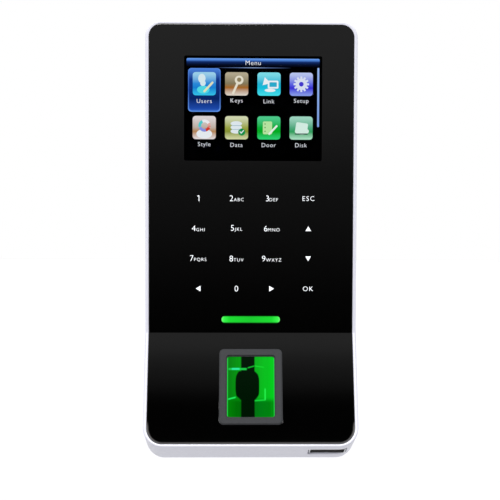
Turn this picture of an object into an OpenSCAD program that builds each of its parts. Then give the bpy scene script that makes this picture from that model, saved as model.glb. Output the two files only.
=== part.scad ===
// Wall-mounted fingerprint access terminal: glossy two-plane front, silver body and a steel wall plate.
// X runs across the face, the wall is the plane y = 0 and the face looks along -Y, Z is up.
// Depths are given as distances from the wall, so a depth d lies at y = -d.

/* [Body] */
// Width of the silver body
body_w = 77.6; // [72:0.2:94]
// Height of the silver body
body_h = 161; // [152:1:194]
// Depth of the body at its top edge
top_depth = 13.4; // [12.6:0.1:16]
// Depth of the body at the crease across the face
crease_depth = 9.3; // [9:0.1:11]
// Depth of the body at its nose, below the finger window
nose_depth = 19.6; // [17:0.1:23]
// Height of the crease above the bottom of the body
crease_rise = 46.9; // [44:0.1:56]
// Height of the nose above the bottom of the body
nose_rise = 7; // [5:0.1:9]
// Corner radius at the top of the body
top_corner = 6; // [4:0.1:8]
// Corner radius at the bottom of the body
bottom_corner = 7; // [5:0.1:8]
// Wall thickness of the silver body
wall = 1.6; // [1.2:0.1:2]

/* [Front panel] */
// Width of the silver rim seen round the panel
rim = 1.25; // [0.8:0.05:1.8]
// Width of the silver rim below the panel, along the nose
nose_rim = 0.8; // [0.7:0.05:1.8]
// Thickness of the glossy panel
panel_t = 1.2; // [0.9:0.1:1.4]
// Thickness of the adhesive gasket behind the panel
gasket_t = 0.3; // [0.2:0.05:0.4]
// Width of the ledge that carries the gasket
ledge_w = 3; // [2:0.1:4]
// Gap round each piece that is set into the panel
inset_gap = 0.1; // [0.05:0.05:0.2]

/* [Display] */
// Width of the clear display window
window_w = 50.2; // [44:0.1:52]
// Height of the clear display window
window_h = 38; // [37:0.1:39.4]
// Distance of the window's centre below the top of the body, along the panel
window_drop = 31.9; // [31:0.1:32.5]
// Sideways place of the window's centre
window_x = 0.6; // [-1:0.1:1]
// Width of the display module
lcd_w = 60.3; // [58:0.1:61]
// Height of the display module
lcd_h = 42.7; // [42:0.1:43.5]

/* [Keypad] */
// Distance between key columns
key_pitch_x = 13.45; // [11:0.05:14]
// Distance between key rows
key_pitch_z = 11.05; // [10:0.05:11.2]
// Height of the lowest key row above the crease, along the panel
key_rise = 16.35; // [15.8:0.05:17]

/* [Light bar] */
// Length of the status light bar
bar_l = 21.4; // [16:0.1:24]
// Height of the status light bar
bar_h = 2.5; // [2:0.1:3]
// Height of the bar above the crease, along the panel
bar_rise = 4.9; // [4.5:0.1:5.4]

/* [Fingerprint sensor] */
// Width of the bezel round the finger window
bezel_w = 23; // [20:0.1:25]
// Height of the bezel round the finger window
bezel_h = 27.4; // [25:0.1:28]
// Distance of the bezel's centre below the crease, along the panel
bezel_drop = 19.7; // [19:0.1:20]
// Width of the finger window
platen_w = 17.2; // [15:0.1:18]
// Height of the finger window
platen_h = 21.9; // [20:0.1:23]

/* [Wall plate] */
// Thickness of the steel wall plate
plate_t = 1.2; // [1:0.1:1.2]
// Width of the wall plate
plate_w = 60; // [56:0.5:61]
// Width between the wall screw holes
screw_span_x = 20; // [19:0.5:21]
// Height between the wall screw holes
screw_span_z = 124; // [118:0.5:125]
// Radius of the wall screw holes
screw_hole_r = 2.2; // [1.6:0.1:2.5]
// Radius of the room left round each wall screw's head
head_room_r = 4.4; // [3.5:0.1:4.5]
// Height between the two holes for a wall box
box_span_z = 83.6; // [80:0.1:85]
// How far the terminal lifts to clear the hooks
lift = 5; // [4.5:0.1:5.5]

/* [Rear cover] */
// Depth at which the silver body meets the black rear cover
seam_depth = 5; // [4.9:0.1:5.1]
// Thickness of the rear cover
cover_t = 1.2; // [1:0.1:1.2]
// How far the rear cover is set in from the silver body
cover_inset = 1.2; // [0.8:0.1:1.5]

/* [Fits] */
// Gap between the wall plate and the rear cover
plate_gap = 0.3; // [0.3:0.05:0.4]
// Radial clearance of a sliding pin in its hole
pin_fit = 0.05; // [0.03:0.01:0.1]
// Radius of the lock screw's shank
lock_r = 1.25; // [1:0.05:1.25]
// Side clearance between neighbouring parts of the assembly
clear = 0.15; // [0.1:0.05:0.2]

/* [Hidden] */
$fn = 48;

far = 60;
z_top = body_h / 2;
z_bottom = -body_h / 2;
crease_z = z_bottom + crease_rise;
nose_z = z_bottom + nose_rise;
upper_lean = atan((top_depth - crease_depth) / (z_top - crease_z));
lower_lean = atan((nose_depth - crease_depth) / (crease_z - nose_z));
window_rise = (z_top - crease_z) / cos(upper_lean) - window_drop;
base_slant = atan(nose_rise / (nose_depth - seam_depth));
base_len = sqrt(pow(nose_rise, 2) + pow(nose_depth - seam_depth, 2));

// Panel outline: the rim is even at the sides and top, and narrower below along the nose
panel_w = body_w - 2 * rim;
panel_top = z_top - rim;
panel_bottom = nose_z + nose_rim;
panel_top_corner = top_corner - rim;
panel_bottom_corner = bottom_corner - rim;
ledge_t = 1;
web_front = panel_t + gasket_t;
web_back = web_front + ledge_t;

// Wall plate, hooks and rear cover
plate_top = z_top - 14.5;
plate_bottom = z_bottom + 14.5;
hook_x = 21;
hook_w = 7;
hook_z = [plate_top - 34, plate_bottom + 26];
box_hole_r = 2;
hook_tab = plate_t;
hook_lip = lift + 0.2;
cover_back = plate_t + plate_gap;
cover_front = cover_back + cover_t;
skirt_back = 0.3;
skirt_t = 1.6;
lip_t = 1.2;
hook_lip_back = cover_front + 0.25;

// Lock screw, reached from below behind the silver body
lock_depth = 3.15;
flange_z = z_bottom + 5.6;
flange_t = 1.2;
lock_head_r = 1.85;
lock_head_h = 1.95;
lock_len = 6.4;
nut_z = flange_z + flange_t + 1.5;
nut_w = 5;
nut_d = 3;
nut_h = 2;
notch_w = 12;

// Cable window and what stands in it
cable_w = 26;
cable_z = [-20, 6];
header_w = 7.4;
header_h = 6;
header_z = -14;
header_pitch = 8.6;
header_back = 1.7;

// Mainboard
board_back = seam_depth;
board_t = 1.2;
board_front = board_back + board_t;
board_w = 61;
board_top = z_top - 4.7;
board_bottom = crease_z + 10.1;
leg_x = 15;
leg_bottom = z_bottom + 18.5;
board_hole_x = 27.5;
board_screw_head = 0.65;
board_hole_z = [board_top - 8, board_bottom + 5];

// Rear cover screws: three a side, into bosses inside the body
boss_r = 2.4;
boss_x = body_w / 2 - wall - boss_r + 0.4;
boss_z = [z_top - 7.2, 8, z_bottom + 19.8];
pilot_r = 0.85;
cover_screw_r = 1;
cover_screw_len = 4.6;
screw_seat = cover_front + 0.4;

// Tamper switch and reset button
tamper_x = 24;
tamper_z = -4;
tamper_r = 1.1;
tamper_press = 1.2;
reset_x = 10.2;
reset_z = -3.5;
reset_r = 0.9;
reset_press = 0.25;

// Display stack, as distances behind the panel's face
lcd_gasket_y = [panel_t + 0.05, panel_t + 0.55];
lcd_glass_y = [lcd_gasket_y[1] + 0.05, lcd_gasket_y[1] + 0.95];
lcd_light_y = [lcd_glass_y[1] + 0.05, lcd_glass_y[1] + 1.25];
lcd_frame_back = lcd_light_y[1] + 0.3;
lcd_frame_t = 0.25;
bracket_y = [lcd_glass_y[0] + 0.9, lcd_frame_back + 0.5];
bracket_w = 66.4;
bracket_h = lcd_h + 3;

// Keypad stack, as distances behind the panel's face
guide_y = [panel_t + 0.02, panel_t + 0.42];
pad_board_y = [guide_y[1] + 0.05, guide_y[1] + 1.05];
pad_board_w = 3 * key_pitch_x + 10.6;
pad_board_v = [key_rise - 6.6, key_rise + 3 * key_pitch_z + 6.2];
key_x = [for (i = [-1.5:1:1.5]) i * key_pitch_x];
led_t = 0.6;

// Fingerprint sensor, as distances behind the lower panel's face
platen_y = 0.45;
bezel_front = -0.4;
bezel_back = panel_t + 0.9;
prism_margin = 1;
prism_y = [4.2, 6.2];
sensor_body_y = bezel_back + 0.05;
sensor_body_back = 9.6;
lens_v = -bezel_drop - 5;
lens_r = 3;
sensor_board_y = 10.1;
sensor_board_t = 1;
sensor_board_v = [-bezel_drop - 13.2, -bezel_drop + 2.1];

// USB socket, in the slanted base
usb_x = 28;
usb_y = -base_len * 0.53;
usb_w = 13.1;
usb_h = 5.7;
usb_len = 13.6;
usb_wall = 0.3;
usb_cut_w = usb_w + 1.1;
usb_cut_h = usb_h + 1.1;
usb_recess = 0.4;

// Speaker, behind a grille in the rear cover
speaker_x = -24.3;
speaker_z = z_bottom + 26;
speaker_r = 9.5;
grille_r = 6.6;
grille_pitch = 1.9;
speaker_depth = [cover_front + 0.1, cover_front + 3.3];

silver = "#dfe0ea";
gloss_black = "#050506";
soft_black = "#17181a";
board_green = "#1f5a34";
steel = "#b9bcc0";
gold = "#c9a44a";
chip_black = "#1b1c1f";
cable_white = "#e6e4da";

// Depth of the face at height z
function face_depth(z) = z > crease_z
    ? crease_depth + (z - crease_z) * tan(upper_lean)
    : crease_depth + (crease_z - z) * tan(lower_lean);

// ---- shared shapes ----

// Rectangle from (x0, z0) to (x1, z1) with round corners, rb below and rt above
module round_rect(x0, z0, x1, z1, rb, rt) {
    w = x1 - x0;
    translate([x0, z0 + rb]) square([w, z1 - z0 - rb - rt]);
    translate([x0 + rt, z1 - rt]) square([w - 2 * rt, rt]);
    translate([x0 + rb, z0]) square([w - 2 * rb, rb]);
    for (x = [x0 + rb, x1 - rb]) translate([x, z0 + rb]) circle(rb);
    for (x = [x0 + rt, x1 - rt]) translate([x, z1 - rt]) circle(rt);
}

// Extrudes a shape drawn in X and Z between two depths from the wall
module between(back, front) {
    translate([0, -back, 0]) rotate([90, 0, 0]) linear_extrude(front - back) children();
}

// Extrudes a shape drawn in Y and Z across the width w
module across(w) {
    translate([-w / 2, 0, 0]) rotate([90, 0, 90]) linear_extrude(w) children();
}

// A layer that follows the face, from d0 to d1 behind it
module face_layer(d0, d1) {
    low = z_bottom - 5;
    high = z_top + 5;
    across(2 * body_w) polygon([
        [d0 - face_depth(high), high], [d0 - crease_depth, crease_z], [d0 - face_depth(low), low],
        [d1 - face_depth(low), low], [d1 - crease_depth, crease_z], [d1 - face_depth(high), high]]);
}

// The body's block, set in by d on every side and behind the face
module body_block(d, back) {
    intersection() {
        face_layer(d, far);
        between(back, far)
            round_rect(-body_w / 2 + d, -far * 2, body_w / 2 - d, z_top - d, 1, top_corner - d);
        base_frame() translate([0, 2 * far, 0]) rotate([90, 0, 0]) linear_extrude(4 * far)
            round_rect(-body_w / 2 + d, d, body_w / 2 - d, 4 * far, bottom_corner - d, 1);
    }
}

// Outline of the face, set in by d from the panel's edge
module panel_outline(d) {
    between(0, far) round_rect(-panel_w / 2 + d, panel_bottom + d, panel_w / 2 - d, panel_top - d,
        panel_bottom_corner - min(d, 3), panel_top_corner - min(d, 3));
}

// Frame of the slanted base: origin at its rear edge, -Y towards the nose, +Z into the body
module base_frame() {
    translate([0, -seam_depth, z_bottom]) rotate([-base_slant, 0, 0]) children();
}

// Frames of the face above and below the crease: +Y into the body, Z along the panel
module upper_frame() {
    translate([0, -crease_depth, crease_z]) rotate([upper_lean, 0, 0]) children();
}

module lower_frame() {
    translate([0, -crease_depth, crease_z]) rotate([-lower_lean, 0, 0]) children();
}

// A block w wide and h high about (x, z), from y0 to y1
module block(x, z, w, h, y0, y1) {
    translate([x - w / 2, y0, z - h / 2]) cube([w, y1 - y0, h]);
}

// A block with round corners about (x, z), from y0 to y1
module round_block(x, z, w, h, r, y0, y1) {
    translate([x, y1, z]) rotate([90, 0, 0]) linear_extrude(y1 - y0)
        round_rect(-w / 2, -h / 2, w / 2, h / 2, r, r);
}

// A pin along Y about (x, z), from y0 to y1
module pin(x, z, r, y0, y1) {
    translate([x, y1, z]) rotate([90, 0, 0]) cylinder(r = r, h = y1 - y0);
}

// A chip or block on the mainboard's front
module on_board(x, z, w, h, t) {
    block(x, z, w, h, -board_front - t, -board_front);
}

module at_wall_screws() {
    for (side = [-1, 1]) for (up = [-1, 1])
        translate([side * screw_span_x / 2, 0, up * screw_span_z / 2]) children();
}

module at_box_screws() {
    for (up = [-1, 1]) translate([0, 0, up * box_span_z / 2]) children();
}

// Slot in the rear cover that clears a wall screw's head, also while the terminal is lifted
module head_slot() {
    r = head_room_r;
    between(0, seam_depth - 0.1) round_rect(-r, -r - lift, r, r, r - 0.1, r - 0.1);
}

module at_bosses() {
    for (side = [-1, 1]) for (z = boss_z) translate([side * boss_x, 0, z]) children();
}

module at_board_holes() {
    for (side = [-1, 1]) for (z = board_hole_z) translate([side * board_hole_x, 0, z]) children();
}

// ---- wall plate and lock ----

module hook(z) {
    lip_back = hook_lip_back;
    for (side = [-1, 1]) {
        block(side * hook_x, z + hook_tab / 2, hook_w, hook_tab, -lip_back - plate_t, -plate_t + 0.01);
        block(side * hook_x, z + hook_lip / 2, hook_w, hook_lip, -lip_back - plate_t, -lip_back);
    }
}

module wall_plate() {
    flange_front = lock_depth + lock_head_r - 0.1;
    color(steel) difference() {
        union() {
            between(0, plate_t) round_rect(-plate_w / 2, plate_bottom, plate_w / 2, plate_top, 3, 3);
            between(0, plate_t) translate([-5, flange_z]) square([10, plate_bottom - flange_z + 1]);
            translate([-5, -flange_front, flange_z]) cube([10, flange_front, flange_t]);
            for (z = hook_z) hook(z);
        }
        for (side = [-1, 1]) for (z = hook_z)
            block(side * hook_x, z + hook_tab + hook_lip / 2 + 0.3, hook_w + 0.6, hook_lip + 0.6,
                -plate_t - 0.01, 1);
        at_wall_screws() pin(0, 0, screw_hole_r, -3, 1);
        at_box_screws() pin(0, 0, box_hole_r, -3, 1);
        between(-1, 3)
            round_rect(-cable_w / 2 - 1, cable_z[0] - 1, cable_w / 2 + 1, cable_z[1] + 1 + lift, 2, 2);
        between(-1, 3)
            round_rect(tamper_x - 2.5, tamper_z - 2.5, tamper_x + 2.5, tamper_z + 2.5 + lift, 2, 2);
        pin(speaker_x, speaker_z, speaker_r - 1.5, -3, 1);
        translate([0, -lock_depth, flange_z - 1]) cylinder(r = lock_r + pin_fit, h = flange_t + 2);
    }
}

module lock_screw() {
    seat = flange_z - 0.03;
    color(steel) difference() {
        union() {
            translate([0, -lock_depth, seat - lock_head_h]) cylinder(r = lock_head_r, h = lock_head_h);
            translate([0, -lock_depth, seat - 0.5]) cylinder(r = lock_r, h = lock_len + 0.5);
        }
        translate([0, -lock_depth, seat - lock_head_h - 1]) cylinder(r = 0.95, h = 2, $fn = 6);
    }
}

module lock_nut() {
    color(gold) difference() {
        block(0, nut_z, nut_w, nut_h, -lock_depth - nut_d / 2, -lock_depth + nut_d / 2);
        translate([0, -lock_depth, nut_z - far / 2]) cylinder(r = lock_r + pin_fit, h = far);
    }
}

// ---- shells ----

module front_housing() {
    color(silver) difference() {
        union() {
            difference() {
                body_block(0, seam_depth);
                body_block(wall, seam_depth - 1);
            }
            intersection() {
                face_layer(0, web_back);
                body_block(0, seam_depth);
            }
            intersection() {
                at_bosses() pin(0, 0, boss_r, -far, -seam_depth - 0.05);
                face_layer(web_front, far);
                body_block(0.5, seam_depth);
            }
        }
        intersection() {
            face_layer(-5, web_front);
            panel_outline(0);
        }
        // Opening of the upper face, inside the ledge
        intersection() {
            panel_outline(ledge_w);
            translate([-far, -far, crease_z + 2]) cube([2 * far, 2 * far, 3 * far]);
        }
        // Opening for the fingerprint sensor in the lower web
        lower_frame() block(0, -bezel_drop, bezel_w + 1, bezel_h + 1, -5, 5);
        at_bosses() pin(0, 0, pilot_r, -screw_seat - cover_screw_len - 0.3, 0);
        base_frame() round_block_z(usb_x, usb_y, usb_cut_w, usb_cut_h, 0.8, -1, wall + 2);
    }
}

// A block with round corners about (x, y), from z0 to z1
module round_block_z(x, y, w, d, r, z0, z1) {
    translate([x, y, z0]) linear_extrude(z1 - z0) round_rect(-w / 2, -d / 2, w / 2, d / 2, r, r);
}

module cover_outline(d, low) {
    round_rect(-body_w / 2 + d, low, body_w / 2 - d, z_top - d, bottom_corner - d, top_corner - d);
}

module rear_cover() {
    low = z_bottom + cover_inset;
    lip_out = wall + clear;
    lip_low = z_bottom + wall + 1;
    notch_top = flange_z + flange_t + 0.45;
    color(soft_black) difference() {
        union() {
            difference() {
                between(skirt_back, seam_depth) cover_outline(cover_inset, low);
                between(skirt_back - 1, cover_back) cover_outline(cover_inset + skirt_t, low + skirt_t);
                between(cover_front, far) cover_outline(cover_inset + skirt_t, low + skirt_t);
            }
            difference() {
                between(cover_front, seam_depth + lip_t) cover_outline(lip_out, lip_low);
                between(cover_front - 1, far) cover_outline(lip_out + lip_t, lip_low + lip_t);
                at_bosses() pin(0, 0, boss_r + 0.2, -far, -seam_depth);
            }
            // Bosses for the mainboard and the rear cover's own screws
            at_board_holes() pin(0, 0, 2.2, -board_back, -cover_front + 0.01);
            at_bosses() pin(0, 0, boss_r, -seam_depth, -cover_front + 0.01);
            // Block that holds the lock nut
            block(0, nut_z + 0.2, nut_w + 4, nut_h + 3, -seam_depth - 0.9, -cover_back);
            // Walls of the notch round the plate's flange
            block(0, (low + notch_top) / 2 + 0.6, notch_w + 2.4, notch_top - low + 1.2,
                -seam_depth, -cover_back);
            block(0, (lip_low + notch_top) / 2 + 0.6, notch_w + 2.4, notch_top - lip_low + 1.2,
                -seam_depth - 0.8, -cover_back);
        }
        // Notch for the flange and the lock screw's head, open below and behind
        block(0, (low + notch_top) / 2 - 1, notch_w, notch_top - low + 2, -seam_depth - 0.05, 1);
        block(0, nut_z, nut_w + 0.1, nut_h + 0.1,
            -lock_depth - nut_d / 2 - 0.05, -lock_depth + nut_d / 2 + 0.05);
        translate([0, -lock_depth, flange_z]) cylinder(r = lock_r + 0.35, h = lock_len + 1);
        // Cable window, hook slots, tamper hole and grille
        between(0, seam_depth - 0.1) round_rect(-cable_w / 2, cable_z[0], cable_w / 2, cable_z[1], 1.5, 1.5);
        for (side = [-1, 1]) for (z = hook_z)
            translate([side * hook_x - hook_w / 2 - 0.5, -seam_depth + 0.1, z - lift - 0.4])
                cube([hook_w + 1, seam_depth, lift + hook_tab + 0.45]);
        at_wall_screws() head_slot();
        at_box_screws() head_slot();
        pin(tamper_x, tamper_z, tamper_r + 0.3, -seam_depth, 1);
        for (i = [-3:3])
            block(speaker_x, speaker_z + i * grille_pitch,
                2 * sqrt(pow(grille_r, 2) - pow(i * grille_pitch, 2)), 0.9, -cover_front - 0.01, 0);
        at_bosses() pin(0, 0, cover_screw_r + 0.15, -far, 1);
        at_bosses() pin(0, 0, 1.95, -screw_seat, 1);
        at_board_holes() pin(0, 0, 0.8, -board_back - 1, -cover_back - 0.6);
    }
}

module cover_screws() {
    color(steel) at_bosses() difference() {
        union() {
            pin(0, 0, 1.8, -screw_seat, -screw_seat + 1.1);
            pin(0, 0, cover_screw_r - 0.2, -screw_seat - cover_screw_len, -screw_seat + 0.1);
        }
        block(0, 0, 1.8, 0.45, -screw_seat + 0.6, 1);
        block(0, 0, 0.45, 1.8, -screw_seat + 0.6, 1);
    }
}

// ---- glossy panel and what is set into it ----

module display_cut(grow) {
    upper_frame() round_block(window_x, window_rise, window_w + 2 * grow, window_h + 2 * grow, 0.6, -5, 5);
}

module bar_cut(grow) {
    upper_frame()
        round_block(0, bar_rise, bar_l + 2 * grow, bar_h + 2 * grow, bar_h / 2 + grow - 0.01, -3, 5);
}

module front_panel() {
    color(gloss_black) difference() {
        intersection() {
            face_layer(0, panel_t);
            panel_outline(inset_gap);
        }
        display_cut(inset_gap);
        bar_cut(inset_gap / 2);
        lower_frame()
            round_block(0, -bezel_drop, bezel_w + 2 * inset_gap, bezel_h + 2 * inset_gap, 1.8, -5, 5);
    }
}

module panel_gasket() {
    color(soft_black) difference() {
        intersection() {
            face_layer(panel_t, web_front);
            panel_outline(inset_gap + 0.1);
        }
        panel_outline(ledge_w - 0.3);
    }
}

module display_window() {
    color("#10141c", 0.45) upper_frame()
        round_block(window_x, window_rise, window_w, window_h, 0.5, 0, panel_t - 0.02);
}

module light_bar_lens() {
    color("#18d838") upper_frame() {
        round_block(0, bar_rise, bar_l, bar_h, bar_h / 2 - 0.01, 0, panel_t + 0.2);
        block(0, bar_rise, bar_l + 1.4, bar_h + 1, panel_t + 0.15, panel_t + 0.75);
    }
}

module light_bar_leds() {
    color("#f4f6e8") upper_frame() for (i = [-1.5:1:1.5])
        block(i * bar_l / 4, bar_rise, 1.6, 0.9, panel_t + 0.8, panel_t + 1.4);
}

module light_bar_board() {
    color(board_green) upper_frame()
        block(0, bar_rise, bar_l + 3, bar_h + 0.9, panel_t + 1.4, panel_t + 2.2);
}

// ---- display ----

module lcd_gasket() {
    color(soft_black) upper_frame() difference() {
        block(window_x, window_rise, window_w + 5, window_h + 3.6, lcd_gasket_y[0], lcd_gasket_y[1]);
        block(window_x, window_rise, window_w + 0.4, window_h + 0.4, 0, 5);
    }
}

module lcd_glass() {
    color("#0a0e18") upper_frame()
        block(window_x, window_rise, lcd_w - 1.6, lcd_h - 1, lcd_glass_y[0], lcd_glass_y[1]);
}

module lcd_backlight() {
    color("#eef0f2") upper_frame()
        block(window_x, window_rise, lcd_w - 1.8, lcd_h - 1.2, lcd_light_y[0], lcd_light_y[1]);
}

module lcd_frame() {
    color(steel) upper_frame() difference() {
        block(window_x, window_rise, lcd_w, lcd_h, lcd_glass_y[0] + 0.3, lcd_frame_back);
        block(window_x, window_rise, lcd_w - 2 * lcd_frame_t - 0.6, lcd_h - 2 * lcd_frame_t - 0.2,
            0, lcd_frame_back - lcd_frame_t);
    }
}

module lcd_bracket() {
    color(soft_black) upper_frame() difference() {
        block(window_x / 2, window_rise, bracket_w, bracket_h, bracket_y[0], bracket_y[1]);
        block(window_x, window_rise, lcd_w + 2 * clear, lcd_h + 2 * clear, 0, lcd_frame_back + 0.05);
        block(window_x, window_rise, lcd_w - 8, lcd_h - 8, 0, 10);
        for (side = [-1, 1]) for (up = [-1, 1])
            pin(window_x / 2 + side * (bracket_w / 2 - 1.3), window_rise + up * 14, 0.65, 0, 10);
    }
}

module bracket_screws() {
    color(steel) upper_frame() for (side = [-1, 1]) for (up = [-1, 1])
        translate([window_x / 2 + side * (bracket_w / 2 - 1.3), 0, window_rise + up * 14]) {
            pin(0, 0, 0.6, bracket_y[0] - 0.4, bracket_y[1]);
            pin(0, 0, 1.1, bracket_y[0] - 0.8, bracket_y[0] - 0.02);
        }
}

// A flat cable whose run is drawn in Y and Z through the given points, w wide about x
module ribbon(x, w, points) {
    t = 0.15;
    n = len(points);
    across_run = function (i) let (d = points[i + 1] - points[i]) [-d[1], d[0]] / norm(d);
    mitre = function (i) i == 0 ? across_run(0) : i == n - 1 ? across_run(n - 2)
        : let (m = across_run(i - 1) + across_run(i)) 2 * m / (m * m);
    translate([x, 0, 0]) across(w) polygon(concat(
        [for (i = [0:n - 1]) points[i] + mitre(i) * t / 2],
        [for (i = [n - 1:-1:0]) points[i] - mitre(i) * t / 2]));
}

// Y of a point d behind the upper panel at the height z
function behind(d, z) = d - face_depth(z);

lcd_socket_z = crease_z + window_rise - 5;
module lcd_cable() {
    z1 = lcd_socket_z;
    color(gold) ribbon(window_x, 12, [
        [behind(lcd_frame_back + 0.12, z1 + 14), z1 + 14],
        [behind(lcd_frame_back + 0.12, z1 + 2), z1 + 2],
        [-board_front - 0.5, z1 - 0.5],
        [-board_front - 0.5, z1 - 1.55]]);
}

// ---- touch keypad ----

module at_keys() {
    for (x = key_x) for (row = [0:3]) translate([x, 0, key_rise + row * key_pitch_z]) children();
}

module keypad_light_guide() {
    mid = (pad_board_v[0] + pad_board_v[1]) / 2;
    color("#d9dde0") upper_frame()
        block(0, mid, pad_board_w - 1, pad_board_v[1] - pad_board_v[0] - 1, guide_y[0], guide_y[1]);
}

module keypad_board() {
    mid = (pad_board_v[0] + pad_board_v[1]) / 2;
    color(board_green) upper_frame() difference() {
        block(0, mid, pad_board_w, pad_board_v[1] - pad_board_v[0], pad_board_y[0], pad_board_y[1]);
        at_keys() pin(0, 0, 0.8, 0, 5);
    }
}

module keypad_leds() {
    color("#f4f6e8") upper_frame() at_keys() block(0, 0, 2.4, 1.9, pad_board_y[1], pad_board_y[1] + led_t);
}

module touch_controller() {
    color(chip_black) upper_frame()
        block(-key_pitch_x, pad_board_v[1] - 9.6, 6, 6, pad_board_y[1], pad_board_y[1] + 0.8);
}

pad_socket_z = crease_z + key_rise + 1.5 * key_pitch_z;
module keypad_cable() {
    z1 = pad_socket_z;
    color(gold) ribbon(0, 6, [
        [behind(pad_board_y[1] + 0.1, z1 + 8), z1 + 8],
        [behind(pad_board_y[1] + 0.1, z1 + 2), z1 + 2],
        [-board_front - 0.5, z1 - 0.5],
        [-board_front - 0.5, z1 - 1.55]]);
}

// ---- fingerprint sensor ----

module sensor_bezel() {
    slope = 0.9;
    color("#4b4d50") lower_frame() difference() {
        union() {
            round_block(0, -bezel_drop, bezel_w, bezel_h, 1.7, bezel_front + 0.35, bezel_back);
            round_block(0, -bezel_drop, bezel_w - 0.7, bezel_h - 0.7, 1.4, bezel_front, bezel_back);
        }
        round_block(0, -bezel_drop, platen_w, platen_h, 0.8, -5, 5);
        round_block(0, -bezel_drop, platen_w + slope, platen_h + slope, 1.2, -5, bezel_front + 0.4);
        block(0, -bezel_drop, platen_w + 2 * prism_margin + 0.2, platen_h + 2 * prism_margin + 0.2,
            platen_y + 0.6, 5);
    }
}

module sensor_prism() {
    half = platen_h / 2 + prism_margin;
    color("#0d8f2c", 0.8) lower_frame() {
        across(platen_w + 2 * prism_margin) polygon([
            [platen_y + 0.65, -bezel_drop + half], [platen_y + 0.65, -bezel_drop - half],
            [prism_y[1], -bezel_drop - half], [prism_y[0], -bezel_drop + half]]);
        round_block(0, -bezel_drop, platen_w - 0.2, platen_h - 0.2, 0.75, platen_y, platen_y + 0.7);
    }
}

module sensor_body() {
    w = bezel_w - 0.4;
    h = bezel_h - 0.4;
    half = platen_h / 2 + prism_margin;
    back = sensor_body_back;
    color(soft_black) lower_frame() difference() {
        intersection() {
            block(0, -bezel_drop, w, h, sensor_body_y, back);
            across(2 * w) polygon([
                [0, -bezel_drop + h], [0, -bezel_drop - h], [back + 1.4, -bezel_drop - h],
                [back, -bezel_drop], [back - 4, -bezel_drop + h / 2], [back - 4, -bezel_drop + h]]);
        }
        across(platen_w + 2 * prism_margin + 0.2) polygon([
            [-1, -bezel_drop + half + 0.1], [-1, -bezel_drop - half - 0.1],
            [prism_y[1] + 0.1, -bezel_drop - half - 0.1], [prism_y[0] + 0.1, -bezel_drop + half + 0.1]]);
        pin(0, lens_v, lens_r + 0.1, 0, 12);
        for (side = [-1, 1]) pin(side * (w / 2 - 1.1), sensor_board_v[0] + 2.2, 0.5, 7, 12);
        at_sensor_leds() block(0, 0, 1.8, 2.2, prism_y[1] - 1, prism_y[1] + 1.05);
    }
}

module at_sensor_leds() {
    x = platen_w / 2 + prism_margin - 1.4;
    for (side = [-1, 1]) for (up = [-1, 1]) translate([side * x, 0, -bezel_drop + up * 5 - 2]) children();
}

module sensor_leds() {
    color("#52e06a") lower_frame() at_sensor_leds() block(0, 0, 1.6, 2, prism_y[1] + 0.35, prism_y[1] + 0.95);
}

module sensor_lens_barrel() {
    color(chip_black) lower_frame() difference() {
        pin(0, lens_v, lens_r, prism_y[1] + 0.2, sensor_board_y - 1);
        pin(0, lens_v, 1.2, 0, 12);
        pin(0, lens_v, 2, prism_y[1] + 0.8, 12);
    }
}

module sensor_lens() {
    color("#9fb7c9", 0.6) lower_frame() pin(0, lens_v, 1.95, prism_y[1] + 0.85, prism_y[1] + 1.9);
}

module image_sensor() {
    color(chip_black) lower_frame()
        block(0, lens_v, 4.2, 4.2, sensor_board_y - 0.9, sensor_board_y);
}

module sensor_board() {
    mid = (sensor_board_v[0] + sensor_board_v[1]) / 2;
    w = bezel_w - 0.4;
    h = sensor_board_v[1] - sensor_board_v[0];
    color(board_green) lower_frame() difference() {
        block(0, mid, w, h, sensor_board_y, sensor_board_y + sensor_board_t);
        for (side = [-1, 1]) pin(side * (w / 2 - 1.1), sensor_board_v[0] + 2.2, 0.6, 0, 20);
    }
}

module sensor_screws() {
    w = bezel_w - 0.4;
    back = sensor_board_y + sensor_board_t;
    color(steel) lower_frame() for (side = [-1, 1])
        translate([side * (w / 2 - 1.1), 0, sensor_board_v[0] + 2.2]) {
            pin(0, 0, 0.45, 7.4, back + 0.1);
            pin(0, 0, 1, back, back + 0.7);
        }
}

// Place, in Y and Z of the body, of a point y behind the lower panel's face and v along it
function lower_point(y, v) = [
    y * cos(lower_lean) + v * sin(lower_lean) - crease_depth,
    crease_z - y * sin(lower_lean) + v * cos(lower_lean)];

sensor_socket_y = -board_back + 0.7;
sensor_cable_x = -8.5;
module sensor_cable() {
    start = lower_point(sensor_board_y + sensor_board_t / 2, sensor_board_v[1] + 0.1);
    run_y = -cover_front - 0.9;
    color(cable_white) ribbon(sensor_cable_x, 6, [
        start, [run_y, start[1] + 2], [run_y, board_bottom - 3], [sensor_socket_y, board_bottom + 0.5],
        [sensor_socket_y, board_bottom + 1.7]]);
}

// ---- mainboard ----

module mainboard() {
    color(board_green) difference() {
        union() {
            block(0, (board_top + board_bottom) / 2, board_w, board_top - board_bottom,
                -board_front, -board_back);
            block((leg_x + board_w / 2) / 2, (leg_bottom + board_bottom) / 2 + 1, board_w / 2 - leg_x,
                board_bottom - leg_bottom + 2, -board_front, -board_back);
        }
        at_board_holes() pin(0, 0, 1.1, -far, 0);
    }
}

module board_screws() {
    color(steel) at_board_holes() {
        pin(0, 0, 1.7, -board_front - board_screw_head, -board_front);
        pin(0, 0, 0.75, -board_front - 0.1, -cover_back - 0.8);
    }
}

module processor() {
    color(chip_black) on_board(-16, crease_z + window_rise - 9.4, 13, 13, 0.9);
}

module memory_chips() {
    color(chip_black) for (i = [0, 1]) on_board(-14.5 + i * 12.5, crease_z + window_rise + 6, 10.5, 8, 0.8);
}

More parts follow.
